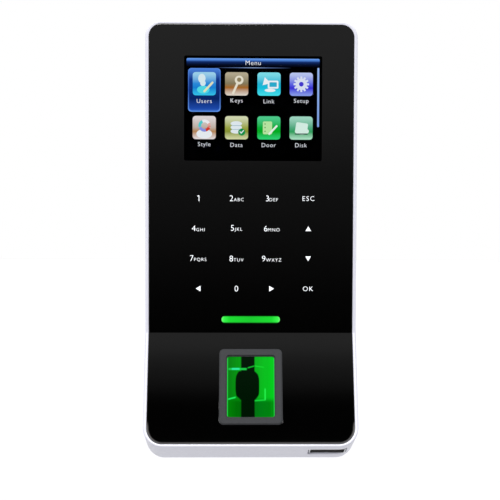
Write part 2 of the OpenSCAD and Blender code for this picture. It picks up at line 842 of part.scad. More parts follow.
module power_inductors() {
    color("#3a3a3c") for (i = [0:2]) on_board(14 + i * 5.2, crease_z + window_rise - 13, 4.4, 4.4, 1);
}

module capacitors() {
    color("#c6c9ce") for (i = [0:3])
        pin(-20 + i * 5.4, board_top - 2.1, 1.9, -board_front - 3.6, -board_front);
}

module flat_cable_sockets() {
    color(cable_white) {
        on_board(window_x, lcd_socket_z - 3.4, 14, 3.4, 1);
        on_board(0, pad_socket_z - 3.4, 8, 3.2, 1);
        block(sensor_cable_x, board_bottom + 3.4, 8, 3.2, -board_back, -board_back + 1.2);
    }
}

battery_z = 24;
module backup_battery() {
    color("#cfd2d6") pin(0, battery_z, 6.25, -board_back + 0.15, -cover_front - 0.15);
}

module battery_holder() {
    color(soft_black) difference() {
        block(0, battery_z, 15, 15, -board_back, -cover_front - 0.3);
        pin(0, battery_z, 6.3, -board_back - 1, 0);
        block(0, battery_z + 6, 7, 8, -board_back - 1, 0);
    }
}

module lock_relay() {
    x = (leg_x + board_w / 2) / 2;
    color("#2b4a7a") on_board(x, leg_bottom + 6, 14, 9.5, 4.2);
}

module at_headers() {
    for (i = [-1:1]) translate([i * header_pitch, 0, header_z]) children();
}

module wiring_headers() {
    color(cable_white) at_headers() difference() {
        block(0, 0, header_w, header_h, -board_back, -header_back);
        block(0, 0, header_w - 1.6, header_h - 1.8, -board_back + 0.8, 0);
    }
}

module header_pins() {
    color(gold) at_headers() for (i = [-1:1])
        block(i * 2, 0, 0.5, 0.5, -board_back + 0.8, -header_back - 0.6);
}

// ---- speaker ----

module speaker_frame() {
    back = speaker_depth[0];
    front = speaker_depth[1];
    color("#2e3033") difference() {
        pin(speaker_x, speaker_z, speaker_r, -front, -back);
        pin(speaker_x, speaker_z, speaker_r - 1.2, -front + 0.8, 0);
        pin(speaker_x, speaker_z, 4.4, -far, 0);
    }
}

module speaker_cone() {
    back = speaker_depth[0];
    r = speaker_r - 1.3;
    color(chip_black) translate([speaker_x, -back - 0.5, speaker_z]) rotate([90, 0, 0])
        rotate_extrude() polygon([
            [0, 1.1], [2.4, 1.1], [r - 1, 0], [r, 0], [r, 0.3], [r - 0.9, 0.3], [2.5, 1.4], [0, 1.4]]);
}

module speaker_magnet() {
    color(steel) pin(speaker_x, speaker_z, 4.3, -speaker_depth[1] - 1.3, -speaker_depth[1] + 1);
}

// ---- USB socket ----

module usb_shell() {
    color(steel) base_frame() difference() {
        round_block_z(usb_x, usb_y, usb_w, usb_h, 0.5, usb_recess, usb_len);
        round_block_z(usb_x, usb_y, usb_w - 2 * usb_wall, usb_h - 2 * usb_wall, 0.3, -1, usb_len - usb_wall);
    }
}

module usb_tongue() {
    inner = usb_w - 2 * usb_wall;
    color(soft_black) base_frame() {
        translate([usb_x - inner / 2 + 0.6, usb_y - 0.35, usb_recess + 0.6])
            cube([inner - 1.2, 1.8, usb_len - usb_wall - usb_recess - 0.6]);
        translate([usb_x - inner / 2 + 0.1, usb_y - usb_h / 2 + usb_wall + 0.1, usb_len - 4])
            cube([inner - 0.2, usb_h - 2 * usb_wall - 0.2, 4 - usb_wall - 0.05]);
    }
}

module usb_contacts() {
    color(gold) base_frame() for (i = [-1.5:1:1.5])
        translate([usb_x + i * 2.2 - 0.5, usb_y - 0.5, usb_recess + 1.2]) cube([1, 0.14, 8]);
}

module usb_board() {
    color(board_green) base_frame()
        translate([usb_x - 7.5, usb_y + usb_h / 2 + 0.02, 4.2]) cube([15, 1, usb_len - 2.7]);
}

// Place, in Y and Z of the body, of a point y along the base and v into it
function base_point(y, v) = [
    y * cos(base_slant) + v * sin(base_slant) - seam_depth,
    z_bottom - y * sin(base_slant) + v * cos(base_slant)];

module usb_cable() {
    start = base_point(usb_y + usb_h / 2 + 0.5, usb_len + 1.6);
    color(cable_white) ribbon(usb_x - 4, 5, [
        start, [-board_back + 0.5, leg_bottom - 0.6], [-board_back + 0.1, leg_bottom + 3]]);
}

// ---- tamper switch and reset button ----

module tamper_switch() {
    color(soft_black) difference() {
        block(tamper_x, tamper_z, 6, 6, -board_back, -cover_front - 0.15);
        pin(tamper_x, tamper_z, 2.1, -board_back + 0.35, 0);
        pin(tamper_x, tamper_z, 1.3, -board_back + 0.3, 0);
    }
}

module tamper_plunger() {
    color("#e8e8e8") {
        pin(tamper_x, tamper_z, tamper_r, -board_back + 0.4 + tamper_press, -0.05);
        pin(tamper_x, tamper_z, 1.75, -cover_front - 0.75, -cover_front - 0.2);
    }
}

// Wire of the tamper spring: a ring of points at each step of the helix, joined by faces
spring_turns = 3;
spring_steps = 16;
spring_sides = 8;
spring_wire = 0.12;
spring_r = 1.55;
module tamper_spring() {
    y0 = -board_back + 0.5;
    y1 = -cover_front - 0.9;
    n = spring_turns * spring_steps;
    ring = function (i) [for (j = [0:spring_sides - 1])
        let (a = 360 * i / spring_steps, b = 360 * j / spring_sides, r = spring_r + spring_wire * cos(b))
        [tamper_x + r * cos(a), y0 + (y1 - y0) * i / n + spring_wire * sin(b), tamper_z + r * sin(a)]];
    points = [for (i = [0:n]) for (p = ring(i)) p];
    sides = [for (i = [0:n - 1]) for (j = [0:spring_sides - 1])
        let (k = (j + 1) % spring_sides, a = i * spring_sides, b = a + spring_sides)
        [a + j, a + k, b + k, b + j]];
    start = [for (j = [spring_sides - 1:-1:0]) j];
    end = [for (j = [0:spring_sides - 1]) n * spring_sides + j];
    color(steel) polyhedron(points, concat(sides, [start, end]), convexity = 6);
}

module reset_switch() {
    color(steel) difference() {
        block(reset_x, reset_z, 4, 3.4, -board_back, -board_back + 1.2);
        pin(reset_x, reset_z, reset_r + pin_fit, -board_back + 0.3, 0);
    }
}

module reset_button() {
    color("#d8b04a")
        pin(reset_x, reset_z, reset_r, -board_back + 0.3 + reset_press + 0.05, -board_back + 1.8);
}

wall_plate();
lock_screw();
lock_nut();
front_housing();
rear_cover();
cover_screws();
front_panel();
panel_gasket();
display_window();
lcd_gasket();
lcd_glass();
lcd_backlight();
lcd_frame();
lcd_bracket();
bracket_screws();
lcd_cable();
light_bar_lens();
light_bar_leds();
light_bar_board();
keypad_light_guide();
keypad_board();
keypad_leds();
touch_controller();
keypad_cable();
sensor_bezel();
sensor_prism();
sensor_body();
sensor_leds();
sensor_lens_barrel();
sensor_lens();
image_sensor();
sensor_board();
sensor_screws();
sensor_cable();
mainboard();
board_screws();
processor();
memory_chips();
power_inductors();
capacitors();
flat_cable_sockets();
backup_battery();
battery_holder();
lock_relay();
wiring_headers();
header_pins();
speaker_frame();
speaker_cone();
speaker_magnet();
usb_shell();
usb_tongue();
usb_contacts();
usb_board();
usb_cable();
tamper_switch();
tamper_plunger();
tamper_spring();
reset_switch();
reset_button();
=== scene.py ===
"""Looks of a slim wall-mounted fingerprint access terminal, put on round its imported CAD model.

X runs across the face, the wall is the plane y = 0, the face looks along -Y and Z is up, in metres.
"""

import math

import bmesh
import bpy
from mathutils import Matrix, Vector


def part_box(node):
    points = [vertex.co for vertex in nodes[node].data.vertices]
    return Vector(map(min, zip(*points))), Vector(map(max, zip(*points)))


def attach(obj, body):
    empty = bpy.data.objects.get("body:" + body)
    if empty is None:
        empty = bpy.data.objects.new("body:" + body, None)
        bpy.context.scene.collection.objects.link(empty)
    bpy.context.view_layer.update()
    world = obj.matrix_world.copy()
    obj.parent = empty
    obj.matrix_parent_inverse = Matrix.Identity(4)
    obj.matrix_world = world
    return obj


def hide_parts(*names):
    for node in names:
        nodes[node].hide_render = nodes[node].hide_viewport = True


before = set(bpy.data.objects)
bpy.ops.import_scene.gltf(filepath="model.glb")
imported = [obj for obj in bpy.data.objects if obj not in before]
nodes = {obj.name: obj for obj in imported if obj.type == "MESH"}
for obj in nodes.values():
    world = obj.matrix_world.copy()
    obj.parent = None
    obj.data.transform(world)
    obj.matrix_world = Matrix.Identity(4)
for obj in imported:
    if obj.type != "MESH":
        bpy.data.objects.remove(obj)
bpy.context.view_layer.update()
scene = bpy.context.scene
MM = 0.001


# ---- Camera ----
# A product shot taken straight on from 0.35 m, level with the middle of the face and a little to its left.
# The terminal fills the frame's height, so its two planes and the slanted base can be told apart.
CAMERA_PLACE = Vector((-6.79, -351.63, -3.85)) * MM
CAMERA_PITCH = math.radians(0.126)
CAMERA_YAW = math.radians(-1.079)
CAMERA_ROLL = math.radians(0.163)
FOCAL_LENGTH = 66.9
FILM_WIDTH = 36
NEAREST = 10 * MM
camera_data = bpy.data.cameras.new("camera")
camera_data.lens = FOCAL_LENGTH
camera_data.sensor_width = FILM_WIDTH
camera_data.clip_start = NEAREST
camera = bpy.data.objects.new("camera", camera_data)
camera_turn = (Matrix.Rotation(CAMERA_YAW, 4, "Z") @ Matrix.Rotation(math.pi / 2 + CAMERA_PITCH, 4, "X")
               @ Matrix.Rotation(CAMERA_ROLL, 4, "Z"))
camera.matrix_world = Matrix.Translation(CAMERA_PLACE) @ camera_turn
scene.collection.objects.link(camera)
scene.camera = camera
scene.view_settings.view_transform = "Standard"


# ---- Silver front housing ----
# The body's front shell: a thin ABS moulding, sprayed pearl silver with a satin clear coat.
# Its rim stands round the glossy panel, and the mould leaves every outer edge with a small radius.
RIM_RADIUS = 0.5 * MM
SEAM_RADIUS = 0.3 * MM
RECESS_RADIUS = 0.12 * MM
# Points this near are one. The angles, in degrees, are those over which an edge parts two planes, is
# rounded, is crisp or is the crease. The share of a normal that lies along Y tells a front from a wall.
ONE_POINT = 0.002 * MM
ONE_PLANE = 0.4
ROUNDED = 20
CRISP = 35
CREASE = 8
FACING = 0.9
SIDEWAYS = 0.6


def linear(hex_colour):
    """An sRGB hex colour as the linear colour that a shader's socket takes."""
    channels = [int(hex_colour[i:i + 2], 16) / 255 for i in (1, 3, 5)]
    return [c / 12.92 if c <= 0.04045 else ((c + 0.055) / 1.055) ** 2.4 for c in channels] + [1.0]


def add(tree, kind, stops=None, to=None, **settings):
    """Adds a node. A setting is a property, or an input by its name (_ for a space) or its number (i0, i1).
    A node or a socket given to an input is linked to it, stops fill a colour ramp, and the node's own first
    output is linked to the socket that to names."""
    node = tree.nodes.new("ShaderNode" + kind)
    for key, value in settings.items():
        if key in node.bl_rna.properties:
            setattr(node, key, value)
            continue
        socket = node.inputs[int(key[1:])] if key[1:].isdigit() else node.inputs[key.replace("_", " ")]
        if isinstance(value, bpy.types.Node):
            value = next(output for output in value.outputs if output.enabled)
        if isinstance(value, bpy.types.NodeSocket):
            tree.links.new(value, socket)
        else:
            socket.default_value = value
    if stops:
        elements = node.color_ramp.elements
        while len(elements) < len(stops):
            elements.new(1.0)
        for element, (position, colour) in zip(elements, stops):
            element.position = position
            element.color = linear(colour)
    if to:
        tree.links.new(node.outputs[0], to)
    return node


def finish_of(name, **settings):
    """A new material with one Principled shader. Returns the material, its tree, the shader and the place."""
    material = bpy.data.materials.new(name)
    material.use_nodes = True
    tree = material.node_tree
    tree.nodes.clear()
    shader = add(tree, "BsdfPrincipled", **settings)
    add(tree, "OutputMaterial", Surface=shader)
    place = add(tree, "TexCoord").outputs["Object"]
    return material, tree, shader, place


def dress(material, *names):
    """Gives CAD nodes a material."""
    for name in names:
        nodes[name].material_slots[0].material = material


def looks_forward(face):
    return face.normal.y < -FACING


def looks_back(face):
    return face.normal.y > FACING


def is_wall(face):
    return abs(face.normal.y) < SIDEWAYS


def looks_outward(face):
    """True for the outer side walls, whose normals point away from the body's middle line."""
    away = face.calc_center_median()
    return is_wall(face) and face.normal.x * away.x + face.normal.z * away.z > 0


def looks_inward(face):
    return is_wall(face) and not looks_outward(face)


def between_faces(one, other):
    """A test for edges that part a face of one kind from a face of the other."""
    def test(edge):
        a, b = edge.link_faces
        return (one(a) and other(b)) or (one(b) and other(a))
    return test


def softened(node, passes, join_flats=True):
    """A merged copy of a CAD node's mesh as a bmesh, with the picked edges rounded: (test, radius, segments).
    A face with many holes is better left in its triangles, with join_flats off."""
    bm = bmesh.new()
    bm.from_mesh(nodes[node].data)
    bmesh.ops.remove_doubles(bm, verts=bm.verts, dist=ONE_POINT)
    if join_flats:
        bmesh.ops.dissolve_limit(bm, angle_limit=math.radians(ONE_PLANE), verts=bm.verts, edges=bm.edges)
    for test, radius, segments in passes:
        bm.normal_update()
        edges = [edge for edge in bm.edges if edge.is_manifold and edge.is_convex
                 and edge.calc_face_angle() > math.radians(ROUNDED) and test(edge)]
        bmesh.ops.bevel(bm, geom=edges, offset=radius, segments=segments, profile=0.5, affect="EDGES",
                        material=-1, clamp_overlap=False)
    return bm


def piece(name, bm, material, place=Matrix.Identity(4)):
    """Makes a bmesh an object at the origin, smooth except over crisp edges and over the crease, where two
    faces that both look forward meet."""
    bmesh.ops.transform(bm, matrix=place, verts=bm.verts)
    bm.normal_update()
    for face in bm.faces:
        face.smooth = True
    for edge in bm.edges:
        angle = math.degrees(edge.calc_face_angle(0))
        crease = angle > CREASE and all(looks_forward(face) for face in edge.link_faces)
        edge.smooth = angle < CRISP and not crease
    mesh = bpy.data.meshes.new(name)
    bm.to_mesh(mesh)
    bm.free()
    mesh.materials.clear()
    mesh.materials.append(material)
    made = bpy.data.objects.new(name, mesh)
    scene.collection.objects.link(made)
    return made


def weigh_normals(made):
    """Lets large flat faces set the shading, so that rounded edges do not darken them."""
    weighted = made.modifiers.new("weighted_normals", "WEIGHTED_NORMAL")
    weighted.keep_sharp = True
    weighted.weight = 100


# Pearl silver paint: fine aluminium and mica flakes in a grey base under a satin clear coat, which gives
# an even pale lavender grey that turns whiter where it faces the light. The grain is drawn at 0.25 mm, and
# the sprayed skin ripples faintly every 1.6 mm.
FLAKE = 0.25
pearl_paint, tree, shader, place = finish_of(
    "pearl_silver_paint", Metallic=0.25, Roughness=0.42, IOR=1.5, Coat_Weight=0.25, Coat_Roughness=0.25)
flakes = add(tree, "TexNoise", Vector=place, Scale=1 / (FLAKE * MM), Detail=2.0)
add(tree, "ValToRGB", Fac=flakes, stops=[(0.3, "#b2b2bc"), (0.7, "#bebec7")], to=shader.inputs["Base Color"])
orange_peel = add(tree, "TexNoise", Vector=place, Scale=1 / (1.6 * MM), Detail=1.0)
add(tree, "Bump", Height=orange_peel, Strength=0.05, Distance=0.02 * MM, to=shader.inputs["Normal"])

housing = piece("silver_front_housing", softened("front_housing", [
    (between_faces(looks_forward, looks_outward), RIM_RADIUS, 4),
    (between_faces(looks_back, looks_outward), SEAM_RADIUS, 3),
    (between_faces(looks_forward, looks_inward), RECESS_RADIUS, 2)], join_flats=False), pearl_paint)
weigh_normals(housing)
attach(housing, "terminal")
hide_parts("front_housing")


# ---- Glossy front panel ----
# One sheet of 1.2 mm hard-coated acrylic, folded at the crease and printed black behind, held by foam tape.
# Its edge is cut with a fine bevel, wider along the bottom, where it is polished.
PANEL_EDGE = 0.14 * MM
POLISHED_EDGE = 0.6 * MM
PANEL_CORNER = 5.75 * MM
EDGE_HIGHLIGHT_REACH = 1.0 * MM
EDGE_HIGHLIGHT_FADE = 3 * MM
BOTTOM_BAND = 6 * MM
OUTLINE_BAND = 7 * MM
DOWNWARD = 0.35
panel_low, panel_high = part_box("front_panel")


def looks_down(face):
    """True for the panel's bottom edge and the lower part of its lower corners."""
    at_bottom = face.calc_center_median().z < panel_low.z + BOTTOM_BAND
    return at_bottom and looks_outward(face) and face.normal.z < -DOWNWARD


def looks_aside(face):
    """True for the other walls of the panel's outline, but not for the walls of its openings."""
    spot = face.calc_center_median()
    at_side = abs(spot.x) > panel_high.x - OUTLINE_BAND
    at_end = spot.z > panel_high.z - OUTLINE_BAND or spot.z < panel_low.z + OUTLINE_BAND
    return (at_side or at_end) and looks_outward(face) and not looks_down(face)


# Hard-coated acrylic over black ink: almost no colour of its own, a mirror-like skin that takes soft grey
# reflections. Round the bottom corners and along the bottom edge its colour is painted grey, a painted
# highlight that stands in for the light caught by the polished edge.
panel_gloss, tree, shader, place = finish_of(
    "black_gloss_acrylic", Base_Color=linear("#010101"), Roughness=0.03, IOR=1.49)
haze = add(tree, "TexNoise", Vector=place, Scale=1 / (9 * MM), Detail=3.0)
add(tree, "MapRange", Value=haze, i3=0.02, i4=0.05, to=shader.inputs["Roughness"])
# The painted edge highlight: grey over the outline's last millimetre round the bottom corners and along the
# bottom edge, fading out above the corners
corner_x = panel_high.x - PANEL_CORNER
corner_z = panel_low.z + PANEL_CORNER
axes = add(tree, "SeparateXYZ", Vector=place)
sideways = add(tree, "Math", operation="ABSOLUTE", i0=axes.outputs["X"])
past_x = add(tree, "MapRange", Value=sideways, i1=corner_x, i2=panel_high.x, i4=PANEL_CORNER)
past_z = add(tree, "MapRange", Value=axes.outputs["Z"], i1=corner_z, i2=panel_low.z, i4=PANEL_CORNER)
reach = add(tree, "VectorMath", operation="LENGTH", i0=add(tree, "CombineXYZ", X=past_x, Y=past_z))
near_edge = add(tree, "MapRange", Value=reach.outputs["Value"], i1=PANEL_CORNER - EDGE_HIGHLIGHT_REACH,
                i2=PANEL_CORNER)
low_down = add(tree, "MapRange", Value=axes.outputs["Z"], i1=corner_z + EDGE_HIGHLIGHT_FADE, i2=corner_z)
painted_edge_highlight = add(tree, "Math", operation="MULTIPLY", i0=near_edge, i1=low_down)
add(tree, "ValToRGB", Fac=painted_edge_highlight, stops=[
    (0.0, "#010101"), (0.2, "#050505"), (0.35, "#2b2a2a"), (0.65, "#474645"), (1.0, "#5c5b58")],
    to=shader.inputs["Base Color"])

panel = piece("gloss_front_panel", softened("front_panel", [
    (between_faces(looks_forward, looks_down), POLISHED_EDGE, 4),
    (between_faces(looks_forward, looks_aside), PANEL_EDGE, 3)]), panel_gloss)
weigh_normals(panel)
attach(panel, "terminal")
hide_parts("front_panel")


# ---- Printed key legends ----
# Sixteen touch keys, four by four, each with a digit, letters, an arrow or a word in translucent white ink,
# screen printed and lit from behind by one LED a key. Each legend stands a little to the right of its LED.
INK = 0.02 * MM
DIGIT_HEIGHT = 2.25 * MM
LETTER_HEIGHT = 1.25 * MM
WORD_HEIGHT = 1.8 * MM
ARROW = 1.15 * MM
LED_MIDDLE = Vector((1.2, 0, 0.95)) * MM
COLUMN_SHIFTS = [0.8 * MM, 1.4 * MM, 0.9 * MM, 0.85 * MM]
ROW_SHIFT = 0.15 * MM
LETTER_GAP = 0.25 * MM
# The figure 1's flag: its place, width, thickness, rounding and turn
FLAG = (-0.2 * MM, 0.87 * DIGIT_HEIGHT, 0.62 * MM, 0.26 * MM, 0.0, 35)
# The height of a capital, as a share of the typeface's size
CAP_HEIGHT = 0.72
UPRIGHT = Matrix.Rotation(math.pi / 2, 4, "X")


def face_plane(low, high):
    """The frame of the panel's widest front facet between two heights: X across, Y into the body, Z up it."""
    facets = [f for f in nodes["front_panel"].data.polygons if looks_forward(f) and low < f.center.z < high]
    widest = max(facets, key=lambda facet: facet.area)
    inward = Vector((0, -widest.normal.y, -widest.normal.z)).normalized()
    across = Vector((1, 0, 0))
    axes = Matrix((across, inward, across.cross(inward))).transposed().to_4x4()
    return Matrix.Translation((0, widest.center.y, widest.center.z)) @ axes


bar_low, bar_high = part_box("light_bar_lens")
upper_face = face_plane(bar_high.z, panel_high.z)
lower_face = face_plane(panel_low.z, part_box("sensor_bezel")[1].z)


def on_face(face, x, z, proud=0.0):
    """Where flat art drawn in X and Y stands on a face, at the place nearest to (x, z) of the body."""
    up = (z - face.translation.z) / face.col[2].z
    return face @ Matrix.Translation((x, -proud, up)) @ UPRIGHT


def lettering(bm, text, cap_height, left, thin=0.02, spacing=1.2):
    """Adds text to a bmesh as thin solid letters, with its left edge at left, and returns its right edge.
    Each stroke is thinned on both sides by thin, a share of the height of the capitals."""
    curve = bpy.data.curves.new("lettering", "FONT")
    curve.body = text
    curve.size = cap_height / CAP_HEIGHT
    curve.extrude = INK / 2
    curve.resolution_u = 3
    curve.offset = -thin * cap_height
    curve.space_character = spacing
    scratch = bpy.data.objects.new("lettering", curve)
    scene.collection.objects.link(scratch)
    mesh = bpy.data.meshes.new_from_object(scratch.evaluated_get(bpy.context.evaluated_depsgraph_get()))
    bpy.data.objects.remove(scratch)
    first = min(v.co.x for v in mesh.vertices)
    mesh.transform(Matrix.Translation((left - first, 0, 0)))
    before = len(bm.verts)
    bm.from_mesh(mesh)
    bm.verts.ensure_lookup_table()
    bmesh.ops.remove_doubles(bm, verts=bm.verts[before:], dist=ONE_POINT / 2)
    return max(v.co.x for v in mesh.vertices)


def tile(bm, x, y, width, height, radius=0.0, turn=0.0):
    """Adds a flat rectangle about (x, y), turned by turn degrees, its corners rounded."""
    start = set(bm.verts)
    made = bmesh.ops.create_grid(bm, x_segments=1, y_segments=1, size=0.5)["verts"]
    spot = Matrix.Translation((x, y, 0)) @ Matrix.Rotation(math.radians(turn), 4, "Z")
    bmesh.ops.transform(bm, matrix=spot @ Matrix.Diagonal((width, height, 1, 1)), verts=made)
    if radius:
        corners = [v for v in bm.verts if v not in start]
        bmesh.ops.bevel(bm, geom=corners, offset=radius, segments=5, profile=0.5, affect="VERTICES",
                        material=-1)


def centred(bm):
    """Moves what a bmesh holds so that the middle of its box is at X = 0 and Y = 0."""
    xs = [v.co.x for v in bm.verts]
    ys = [v.co.y for v in bm.verts]
    middle = Vector(((min(xs) + max(xs)) / 2, (min(ys) + max(ys)) / 2, 0))
    bmesh.ops.translate(bm, vec=-middle, verts=bm.verts)
    return bm


def extruded(bm, faces, depth):
    """Gives flat faces a thickness towards the viewer and closes them into solids."""
    raised = bmesh.ops.extrude_face_region(bm, geom=faces, use_keep_orig=True)
    bmesh.ops.translate(bm, vec=(0, 0, depth),
                        verts=[v for v in raised["geom"] if isinstance(v, bmesh.types.BMVert)])
    bmesh.ops.recalc_face_normals(bm, faces=bm.faces)
    return bm


# Translucent screen ink: soft white, matt, and glowing a little from the LEDs behind it. Screen printing
# leaves it slightly uneven, drawn here at 0.4 mm.
print_ink, tree, shader, place = finish_of(
    "backlit_white_ink", Base_Color=linear("#b9bcc0"), Roughness=0.5, Emission_Strength=0.62)
blotches = add(tree, "TexNoise", Vector=place, Scale=1 / (0.4 * MM), Detail=1.0)
add(tree, "ValToRGB", Fac=blotches, stops=[(0.25, "#dfe3e6"), (0.75, "#ffffff")],
    to=shader.inputs["Emission Color"])

led_low, led_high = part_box("keypad_leds")
first_led = Vector((led_low.x, 0, led_high.z)) + Vector((LED_MIDDLE.x, 0, -LED_MIDDLE.z))
led_step = (led_high - led_low - 2 * LED_MIDDLE) / 3
column_x = [first_led.x + i * led_step.x + COLUMN_SHIFTS[i] for i in range(4)]
row_z = [first_led.z - i * led_step.z - ROW_SHIFT for i in range(4)]
KEYS = [
    [("1", ""), ("2", "ABC"), ("3", "DEF"), ("word", "ESC")],
    [("4", "GHI"), ("5", "JKL"), ("6", "MNO"), ("arrow", 90)],
    [("7", "PQRS"), ("8", "TUV"), ("9", "WXYZ"), ("arrow", -90)],
    [("arrow", 180), ("0", ""), ("arrow", 0), ("word", "OK")]]
for row, z in zip(KEYS, row_z):
    for (kind, mark), x in zip(row, column_x):
        bm = bmesh.new()
        if kind == "arrow":
            bmesh.ops.create_circle(bm, cap_ends=True, segments=3, radius=ARROW,
                                    matrix=Matrix.Rotation(math.radians(mark - 90), 4, "Z"))
            extruded(bm, bm.faces[:], INK)
            name = f"key_legend_arrow_{('right', 'up', 'left', 'down')[mark // 90 % 4]}"
        elif kind == "word":
            lettering(bm, mark, WORD_HEIGHT, 0)
            name = f"key_legend_{mark.lower()}"
        else:
            right = lettering(bm, kind, DIGIT_HEIGHT, 0)
            if kind == "1":
                flag = bmesh.new()
                tile(flag, *FLAG)
                extruded(flag, flag.faces[:], INK)
                flag_mesh = bpy.data.meshes.new("flag")
                flag.to_mesh(flag_mesh)
                flag.free()
                bm.from_mesh(flag_mesh)
            if mark:
                lettering(bm, mark, LETTER_HEIGHT, right + LETTER_GAP)
            name = f"key_legend_{kind}"
        legend = piece(name, centred(bm), print_ink, on_face(upper_face, x, z, INK / 2))
        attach(legend, "terminal")


# ---- Clear display window ----
# A clear acrylic inset, flush with the panel, hard coated and made anti-reflective on both faces.
# The display behind it shows at full contrast, and what is left of a reflection is very weak.
window_clear, tree, shader, place = finish_of(
    "anti_reflective_window", Base_Color=linear("#f2f4f8"), Transmission_Weight=1.0, IOR=1.02)
rub = add(tree, "TexNoise", Vector=place, Scale=1 / (12 * MM), Detail=4.0)
add(tree, "MapRange", Value=rub, i3=0.0, i4=0.02, to=shader.inputs["Roughness"])
dress(window_clear, "display_window")


# ---- Display image ----
# A 2.4 inch colour display, lit, that shows a menu of eight round-cornered icons under a blue title bar.
# Each shape is a thin sheet just in front of the display's glass and glows as if the backlight lit it.
SHEET = 0.03 * MM
FIRST_LAYER = 0.05
LAYER_STEP = 0.08
SCREEN_MARGIN = 0.7 * MM
DOT_PITCH = 0.153 * MM
# How far apart a wave pattern's bands are at a scale of 1
BAND = 0.314
window_low, window_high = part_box("display_window")
screen_x = (window_low.x + window_high.x) / 2
screen_z = (window_low.z + window_high.z) / 2
screen_left = window_low.x + SCREEN_MARGIN
screen_right = window_high.x - SCREEN_MARGIN
behind_face = min((upper_face.inverted() @ v.co).y for v in nodes["lcd_glass"].data.vertices)
layer = [behind_face - (FIRST_LAYER + LAYER_STEP * i) * MM for i in range(5)]


def lit(name, low, high, stops, strength=1.0, axis="Z"):
    """A lit part of the image. Its colours run from low to high along an axis, under the display's faint grid
    of dots."""
    material, tree, shader, place = finish_of(name, Base_Color=linear("#000000"), Roughness=0.5,
                                              Specular_IOR_Level=0.0, Emission_Strength=strength)
    height = add(tree, "SeparateXYZ", Vector=place)
    along = add(tree, "MapRange", Value=height.outputs[axis], i1=low, i2=high)
    colours = add(tree, "ValToRGB", Fac=along, stops=stops)
    grid = add(tree, "TexWave", Vector=place, wave_type="BANDS", bands_direction="X", Scale=BAND / DOT_PITCH)
    shade = add(tree, "MapRange", Value=grid, i3=0.88, i4=1.0)
    dimmed = add(tree, "Mix", data_type="RGBA", blend_type="MULTIPLY", i0=1.0, i6=colours, i7=shade)
    tree.links.new(dimmed.outputs[2], shader.inputs["Emission Color"])
    return material


def disc(bm, x, y, radius, squash=1.0, sides=28, turn=0.0):
    """Adds a flat disc about (x, y), its height scaled by squash."""
    spot = (Matrix.Translation((x, y, 0)) @ Matrix.Rotation(math.radians(turn), 4, "Z")
            @ Matrix.Diagonal((1, squash, 1, 1)))
    bmesh.ops.create_circle(bm, cap_ends=True, segments=sides, radius=radius, matrix=spot)


def arc(bm, inner, outer, start, sweep):
    """Adds a flat piece of a ring by spinning one edge from start through sweep degrees."""
    a = math.radians(start)
    ends = [bm.verts.new((r * math.cos(a), r * math.sin(a), 0)) for r in (inner, outer)]
    edge = bm.edges.new(ends)
    bmesh.ops.spin(bm, geom=ends + [edge], cent=(0, 0, 0), axis=(0, 0, 1), angle=math.radians(sweep), steps=8)


def show(name, bm, material, x, z, depth):
    """Puts a sheet of the image at a depth behind the face, with its middle at (x, z)."""
    extruded(bm, bm.faces[:], SHEET)
    sheet = piece(name, bm, material, on_face(upper_face, x, z, -depth))
    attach(sheet, "terminal")


def show_tile(name, width, height, radius, material, x, z, depth):
    """Puts a plain tile of the image in its place."""
    bm = bmesh.new()
    tile(bm, 0, 0, width, height, radius)
    show(name, bm, material, x, z, depth)


# The display's own glass between the icons is dark, matt and polarised, so it gives back next to no light.
# Its etch varies over about 4 mm.
glass_black, tree, shader, place = finish_of(
    "polarised_display_glass", Base_Color=linear("#000001"), Roughness=0.4, Specular_IOR_Level=0.0)
etch = add(tree, "TexNoise", Vector=place, Scale=1 / (4 * MM), Detail=2.0)
add(tree, "ValToRGB", Fac=etch, stops=[(0.3, "#000001"), (0.7, "#010102")], to=shader.inputs["Base Color"])
dress(glass_black, "lcd_glass")

# Title bar, its underline, the scroll bar and the selected tile, all in the menu's blues
TITLE_HEIGHT = 3.0 * MM
TITLE_DROP = 2.1 * MM
TITLE_ROUND = 0.5 * MM
LINE_WIDTH = 28 * MM
LINE_HEIGHT = 0.25 * MM
LINE_GAP = 0.4 * MM
SCROLL_WIDTH = 0.7 * MM
SCROLL_HEIGHT = 21.6 * MM
SCROLL_ROUND = 0.2 * MM
SCROLL_FOOT = -13 * MM
SCROLL_HEAD = 16 * MM
SCROLL_INSET = 0.45 * MM
SCROLL_DROP = 12.6 * MM
title_z = window_high.z - TITLE_DROP
title_blue = lit("title_bar_blue", title_z - TITLE_HEIGHT / 2, title_z + TITLE_HEIGHT / 2,
                 [(0.0, "#010205"), (0.3, "#08132f"), (0.6, "#132e6c"), (0.82, "#4f88e0"), (1.0, "#74aafa")])
show_tile("screen_title_bar", screen_right - screen_left, TITLE_HEIGHT, TITLE_ROUND, title_blue, screen_x,
          title_z, layer[0])

line_blue = lit("title_line_blue", screen_x - LINE_WIDTH / 2, screen_x + LINE_WIDTH / 2,
                [(0.0, "#020306"), (0.3, "#5b74a8"), (0.5, "#9ab2e0"), (0.7, "#5b74a8"), (1.0, "#020306")],
                axis="X")
show_tile("screen_title_line", LINE_WIDTH, LINE_HEIGHT, 0.0, line_blue, screen_x,
          title_z - TITLE_HEIGHT / 2 - LINE_GAP, layer[1])

scroll_blue = lit("scroll_bar_blue", screen_z + SCROLL_FOOT, screen_z + SCROLL_HEAD,
                  [(0.0, "#7ea4e6"), (1.0, "#a2c4fb")])
show_tile("screen_scroll_bar", SCROLL_WIDTH, SCROLL_HEIGHT, SCROLL_ROUND, scroll_blue,
          screen_right - SCROLL_INSET, title_z - SCROLL_DROP, layer[0])

